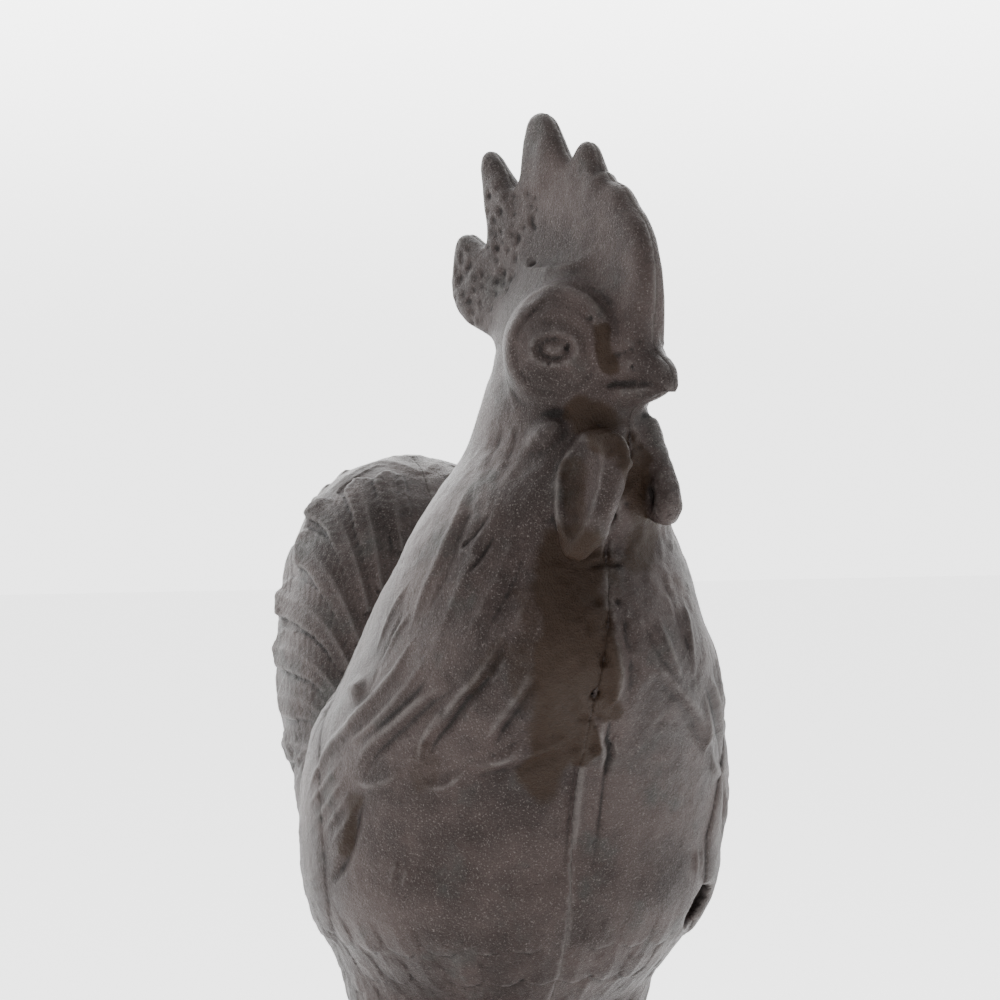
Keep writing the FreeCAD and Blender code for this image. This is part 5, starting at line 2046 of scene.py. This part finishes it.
@dataclass(frozen=True)
class Leg:
    """A leg casting, sculpted for the right side: shank, scutes, spur, four toes with claws, stud and peg."""

    across: float = -27.0
    along: float = 16.0
    sole: float = 13.9
    top: float = 99.8
    shank: Table = (
        (18.0, 8.6), (26.0, 7.6), (34.6, 6.3), (57.0, 6.1), (77.5, 6.9), (88.0, 9.6), (96.0, 11.2),
        (101.0, 11.6),
    )
    toe_axis: float = 17.2
    toes: Table = ((34.0, 36.1, 5), (0.0, 42.0, 7), (-34.0, 37.8, 6), (180.0, 23.5, 2))
    toe_shape: Table = (
        (0.0, 6.2, 0.0), (0.22, 4.8, 0.0), (0.44, 5.3, 0.3), (0.58, 4.1, 0.0), (0.72, 4.5, 0.2),
        (0.86, 3.2, -0.2), (0.95, 3.0, 0.2), (1.04, 1.9, 0.4), (1.12, 1.0, -0.9), (1.16, 0.5, -2.0),
    )
    spur: Table = (
        (0.0, 0.0, 44.9, 4.6), (2.6, 6.5, 46.6, 3.6), (5.0, 11.0, 48.4, 2.2), (6.4, 14.2, 50.4, 0.9),
    )
    stud_radius: float = 4.9
    stud_top: float = 151.8
    peg_radius: float = 2.6
    peg_forward: float = 23.1
    peg_foot: float = 8.0
    toe_blend: float = 1.6
    shank_blend: float = 3.0
    spur_blend: float = 2.0
    rod_blend: float = 0.3
    rod_margin: Spot = (9.0, 9.0, 2.0)
    stud_root: float = 4.0
    peg_root: float = 3.0
    scute_start_share: float = 0.2
    front_scutes: ScuteRow = ScuteRow(12, 4.9, 6.9, 5.9, bulge=1.0)
    toe_scutes: ScuteRow = ScuteRow(5, 4.1, 5.2, 5.0, span=62.0, bulge=0.75, taper=0.36)
    scute_top: float = 86.0
    rings: Band = (30.0, 84.0)
    ring_depth: float = 0.35
    seed: int = 31
    sand: Table = ((0.22, 7.0, 0.0), (0.12, 2.6, 40.0))
    box: Box = ((-40.0, -56.0, 6.0), (40.0, 36.0, 156.0))
    pitch: float = 0.75
    quick_pitch: float = 1.5

    def form(self) -> tuple[Points, Points]:
        """The leg's form without its scutes.

        Returns:
            Its points and faces.
        """
        pitch = self.pitch
        centre = np.array([self.across, self.along, 0.0])
        solid = SolidGrid(centre + self.box[0], centre + self.box[1], pitch)
        up, toe, shank, spur = (np.array(given) for given in (UP, self.toe_shape, self.shank, self.spur))
        for degrees, length, _scutes in self.toes:
            spots = np.outer(toe[:, 0], self.toe_heading(degrees) * length)
            spots = centre + spots + np.outer(self.toe_axis + toe[:, 2], up)
            add_chain(solid, spots, toe[:, 1], self.toe_blend)
        add_chain(solid, centre + np.outer(shank[:, 0], up), shank[:, 1], self.shank_blend)
        add_chain(solid, centre + spur[:, :3], spur[:, 3], self.spur_blend)
        level = solid.whole().z
        solid.distance = np.maximum(solid.distance, np.maximum(self.sole - level, level - self.top))
        rods = (
            (0.0, self.top - self.stud_root, self.stud_top, self.stud_radius),
            (-self.peg_forward, self.peg_foot, self.sole + self.peg_root, self.peg_radius),
        )
        for along, low, high, radius in rods:
            foot = centre + [0.0, along, 0.0]
            window = solid.window(foot - self.rod_margin + [0, 0, low], foot + self.rod_margin + [0, 0, high])
            side = upright_rod(window, foot, radius)
            solid.add(window, np.maximum(side, np.maximum(low - window.z, window.z - high)), self.rod_blend)
        return solid.surface()

    @staticmethod
    def toe_heading(degrees: float) -> Points:
        """The direction of a toe, from straight ahead."""
        return np.array([math.sin(math.radians(degrees)), -math.cos(math.radians(degrees)), 0.0])

    def scutes(self, finish: Material) -> list[tuple[Points, Points]]:
        """The rows of scutes down the shank's front and along the toes.

        Args:
            finish: their material.

        Returns:
            The points and faces of each row.
        """
        up, forward = np.array(UP), self.toe_heading(0.0)
        rows = [self.front_scutes.laid((self.across, self.along, self.scute_top), -up, forward, finish)]
        for degrees, length, count in self.toes:
            heading = self.toe_heading(degrees)
            start = (self.across, self.along, self.toe_axis) + heading * length * self.scute_start_share
            rows.append(replace(self.toe_scutes, count=count).laid(start, heading, up, finish))
        return rows

    def build(self, finish: Material) -> None:
        """Make both legs.

        Args:
            finish: their material.
        """
        points, faces = self.form()
        relief = Relief(points, faces, -1.0)
        ring = np.abs(np.modf(points[:, 2] / self.front_scutes.pitch + WHOLE_TURNS)[0] - 0.5) * 2.0
        shank = (points[:, 2] > self.rings[0]) & (points[:, 2] < self.rings[1])
        relief.height += Grain(self.seed).layered(points, self.sand) - self.ring_depth * shank * ring**4
        relief.settle()
        rows = self.scutes(finish)
        for name, sign in (("right_leg", 1.0), ("left_leg", -1.0)):
            mirror = np.array([sign, 1.0, 1.0])
            extra = [(spots * mirror, corners) for spots, corners in rows]
            piece = skin_piece(name + "_skin", relief, relief.points * mirror, sign < 0, extra)
            seat(piece, finish, "cast_leg", name)


@dataclass(frozen=True)
class Plate:
    """The oval plate: a rounded upper edge, uneven cast ground, and recesses for the foot screws below."""

    half_width: float = 68.0
    half_length: float = 100.0
    back: float = 6.0
    thickness: float = 14.0
    rounding: float = 5.0
    screw_spots: Table = ((-27.0, 16.0), (27.0, 16.0))
    recess_radius: float = 5.3
    recess_top: float = 5.0
    recess_reach: float = 9.0
    recess_blend: float = 0.4
    margin: float = 4.0
    seed: int = 41
    shown_slope: Band = (-0.6, 0.0)
    shown_height: Band = (0.5, 2.5)
    ground_slope: Band = (0.6, 0.95)
    sand: Table = ((0.30, 11.0, 0.0), (0.18, 4.2, 30.0))
    pebbles: Table = ((0.9, 6.0, 70.0),)
    pebble_start: float = 0.315
    ground_drop: float = 0.15
    pitch: float = 1.0
    quick_pitch: float = 2.0

    def build(self, finish: Material) -> None:
        """Make the plate.

        Args:
            finish: its material.
        """
        pitch = self.pitch
        reach = np.array([self.half_width, self.half_length, 0.0]) + self.margin
        middle = np.array([0.0, self.back, 0.0])
        solid = SolidGrid(middle - reach, middle + reach + [0.0, 0.0, self.thickness], pitch)
        window = solid.whole()
        along = window.y - self.back
        side = oval_distance(window.x, along, self.half_width, self.half_length) + self.rounding
        above = window.z - self.thickness + self.rounding
        corner = np.sqrt(np.maximum(side, 0.0) ** 2 + np.maximum(above, 0.0) ** 2)
        body = corner + np.minimum(np.maximum(side, above), 0.0) - self.rounding
        solid.add(window, np.maximum(body, -window.z), 0.0)
        for spot in self.screw_spots:
            reach, floor = np.full(2, self.recess_reach), -self.margin
            low, high = (*(spot - reach), floor), (*(spot + reach), self.recess_reach)
            window = solid.window(low, high)
            recess = upright_rod(window, spot, self.recess_radius)
            solid.carve(window, np.maximum(recess, window.z - self.recess_top), self.recess_blend)
        relief = Relief(*solid.surface(), -1.0)
        grain, upward = Grain(self.seed), relief.normals[:, 2]
        shown = smoothstep(upward, *self.shown_slope) * smoothstep(relief.points[:, 2], *self.shown_height)
        pebbles = np.maximum(grain.layered(relief.points, self.pebbles) - self.pebble_start, 0.0)
        relief.height += shown * grain.layered(relief.points, self.sand)
        relief.height += smoothstep(upward, *self.ground_slope) * (pebbles - self.ground_drop)
        relief.settle()
        piece = skin_piece("base_plate_skin", relief, relief.points, False)
        seat(piece, finish, "cast_plate", "base_plate")


@dataclass(frozen=True)
class Lamp:
    """A softbox that looks at the figure's breast, with its width in metres and its power in watts."""

    name: str
    place: Spot
    width: float
    power: float
    target: Spot = (0.0, 0.0, 0.25)

    def build(self) -> None:
        """Make the lamp."""
        light = bpy.data.lights.new(self.name, "AREA")
        light.size = self.width
        light.energy = self.power
        box = bpy.data.objects.new(self.name, light)
        bpy.context.scene.collection.objects.link(box)
        box.location = self.place
        aim = Vector(self.target) - Vector(self.place)
        box.rotation_euler = aim.to_track_quat("-Z", "Y").to_euler()


@dataclass(frozen=True)
class Studio:
    """A pale floor in a white room that is brighter behind the figure than in front of it."""

    front: float = 0.70
    rear: float = 7.4
    front_to_rear: Band = (0.18, 0.92)
    horizon: float = 0.46
    horizon_to_sky: Band = (0.0, 0.22)
    floor_glow: float = 1.4
    floor_colour: Spot = (0.9, 0.9, 0.9)
    floor_reach: float = 4000.0
    white: Spot = (1.0, 1.0, 1.0)
    lamps: tuple[Lamp, ...] = (
        Lamp("left_softbox", (-1.2, -0.15, 0.9), 0.7, 9.0),
        Lamp("right_softbox", (1.2, 0.0, 0.8), 0.6, 6.0),
        Lamp("top_softbox", (0.1, 0.1, 1.5), 0.8, 6.0),
    )

    def build(self) -> None:
        """Make the floor, the sky and the lamps."""
        corners = np.array([[-1.0, -1.0, 0.0], [1.0, -1.0, 0.0], [1.0, 1.0, 0.0], [-1.0, 1.0, 0.0]])
        floor = mesh_piece("floor", corners * self.floor_reach, [[0, 1, 2, 3]])
        paper, pen, shader = new_material("pale_paper")
        feeds = {
            "Base Color": self.floor_colour, "Roughness": 1.0, "Specular IOR Level": 0.0,
            "Emission Color": self.white, "Emission Strength": self.floor_glow,
        }
        for name, value in feeds.items():
            pen.feed(shader.inputs[name], value)
        floor.data.materials.append(paper)
        world = bpy.data.worlds.new("white_room")
        bpy.context.scene.world = world
        world.use_nodes = True
        pen = NodePen(world.node_tree)
        place = pen.node("ShaderNodeTexCoord", {}).outputs["Generated"]
        parts = pen.node("ShaderNodeSeparateXYZ", {"Vector": place}).outputs
        glow = pen.ramp(parts["Y"], *self.front_to_rear, (self.front, self.rear))
        dusk = pen.ramp(parts["Z"], *self.horizon_to_sky, (self.horizon, 1.0))
        sky = world.node_tree.nodes["Background"]
        pen.feed(sky.inputs["Color"], self.white)
        pen.feed(sky.inputs["Strength"], pen.calculation("MULTIPLY", glow, dusk))
        for lamp in self.lamps:
            lamp.build()


def main() -> None:
    """Build the whole scene."""
    logging.basicConfig(level=logging.INFO, format="%(name)s: %(message)s")
    PhotoCamera().build()
    Studio().build()
    iron = CastIronFinish("waxed_cast_iron").build()
    Figure().build(iron)
    Leg().build(iron)
    Plate().build(iron)
    steel = BrownedSteelFinish().build()
    for name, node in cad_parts.items():
        if not node.hide_render:
            node.data.materials.clear()
            node.data.materials.append(steel)
            LOG.info("fixing %s", name)


if __name__ == "__main__":
    main()
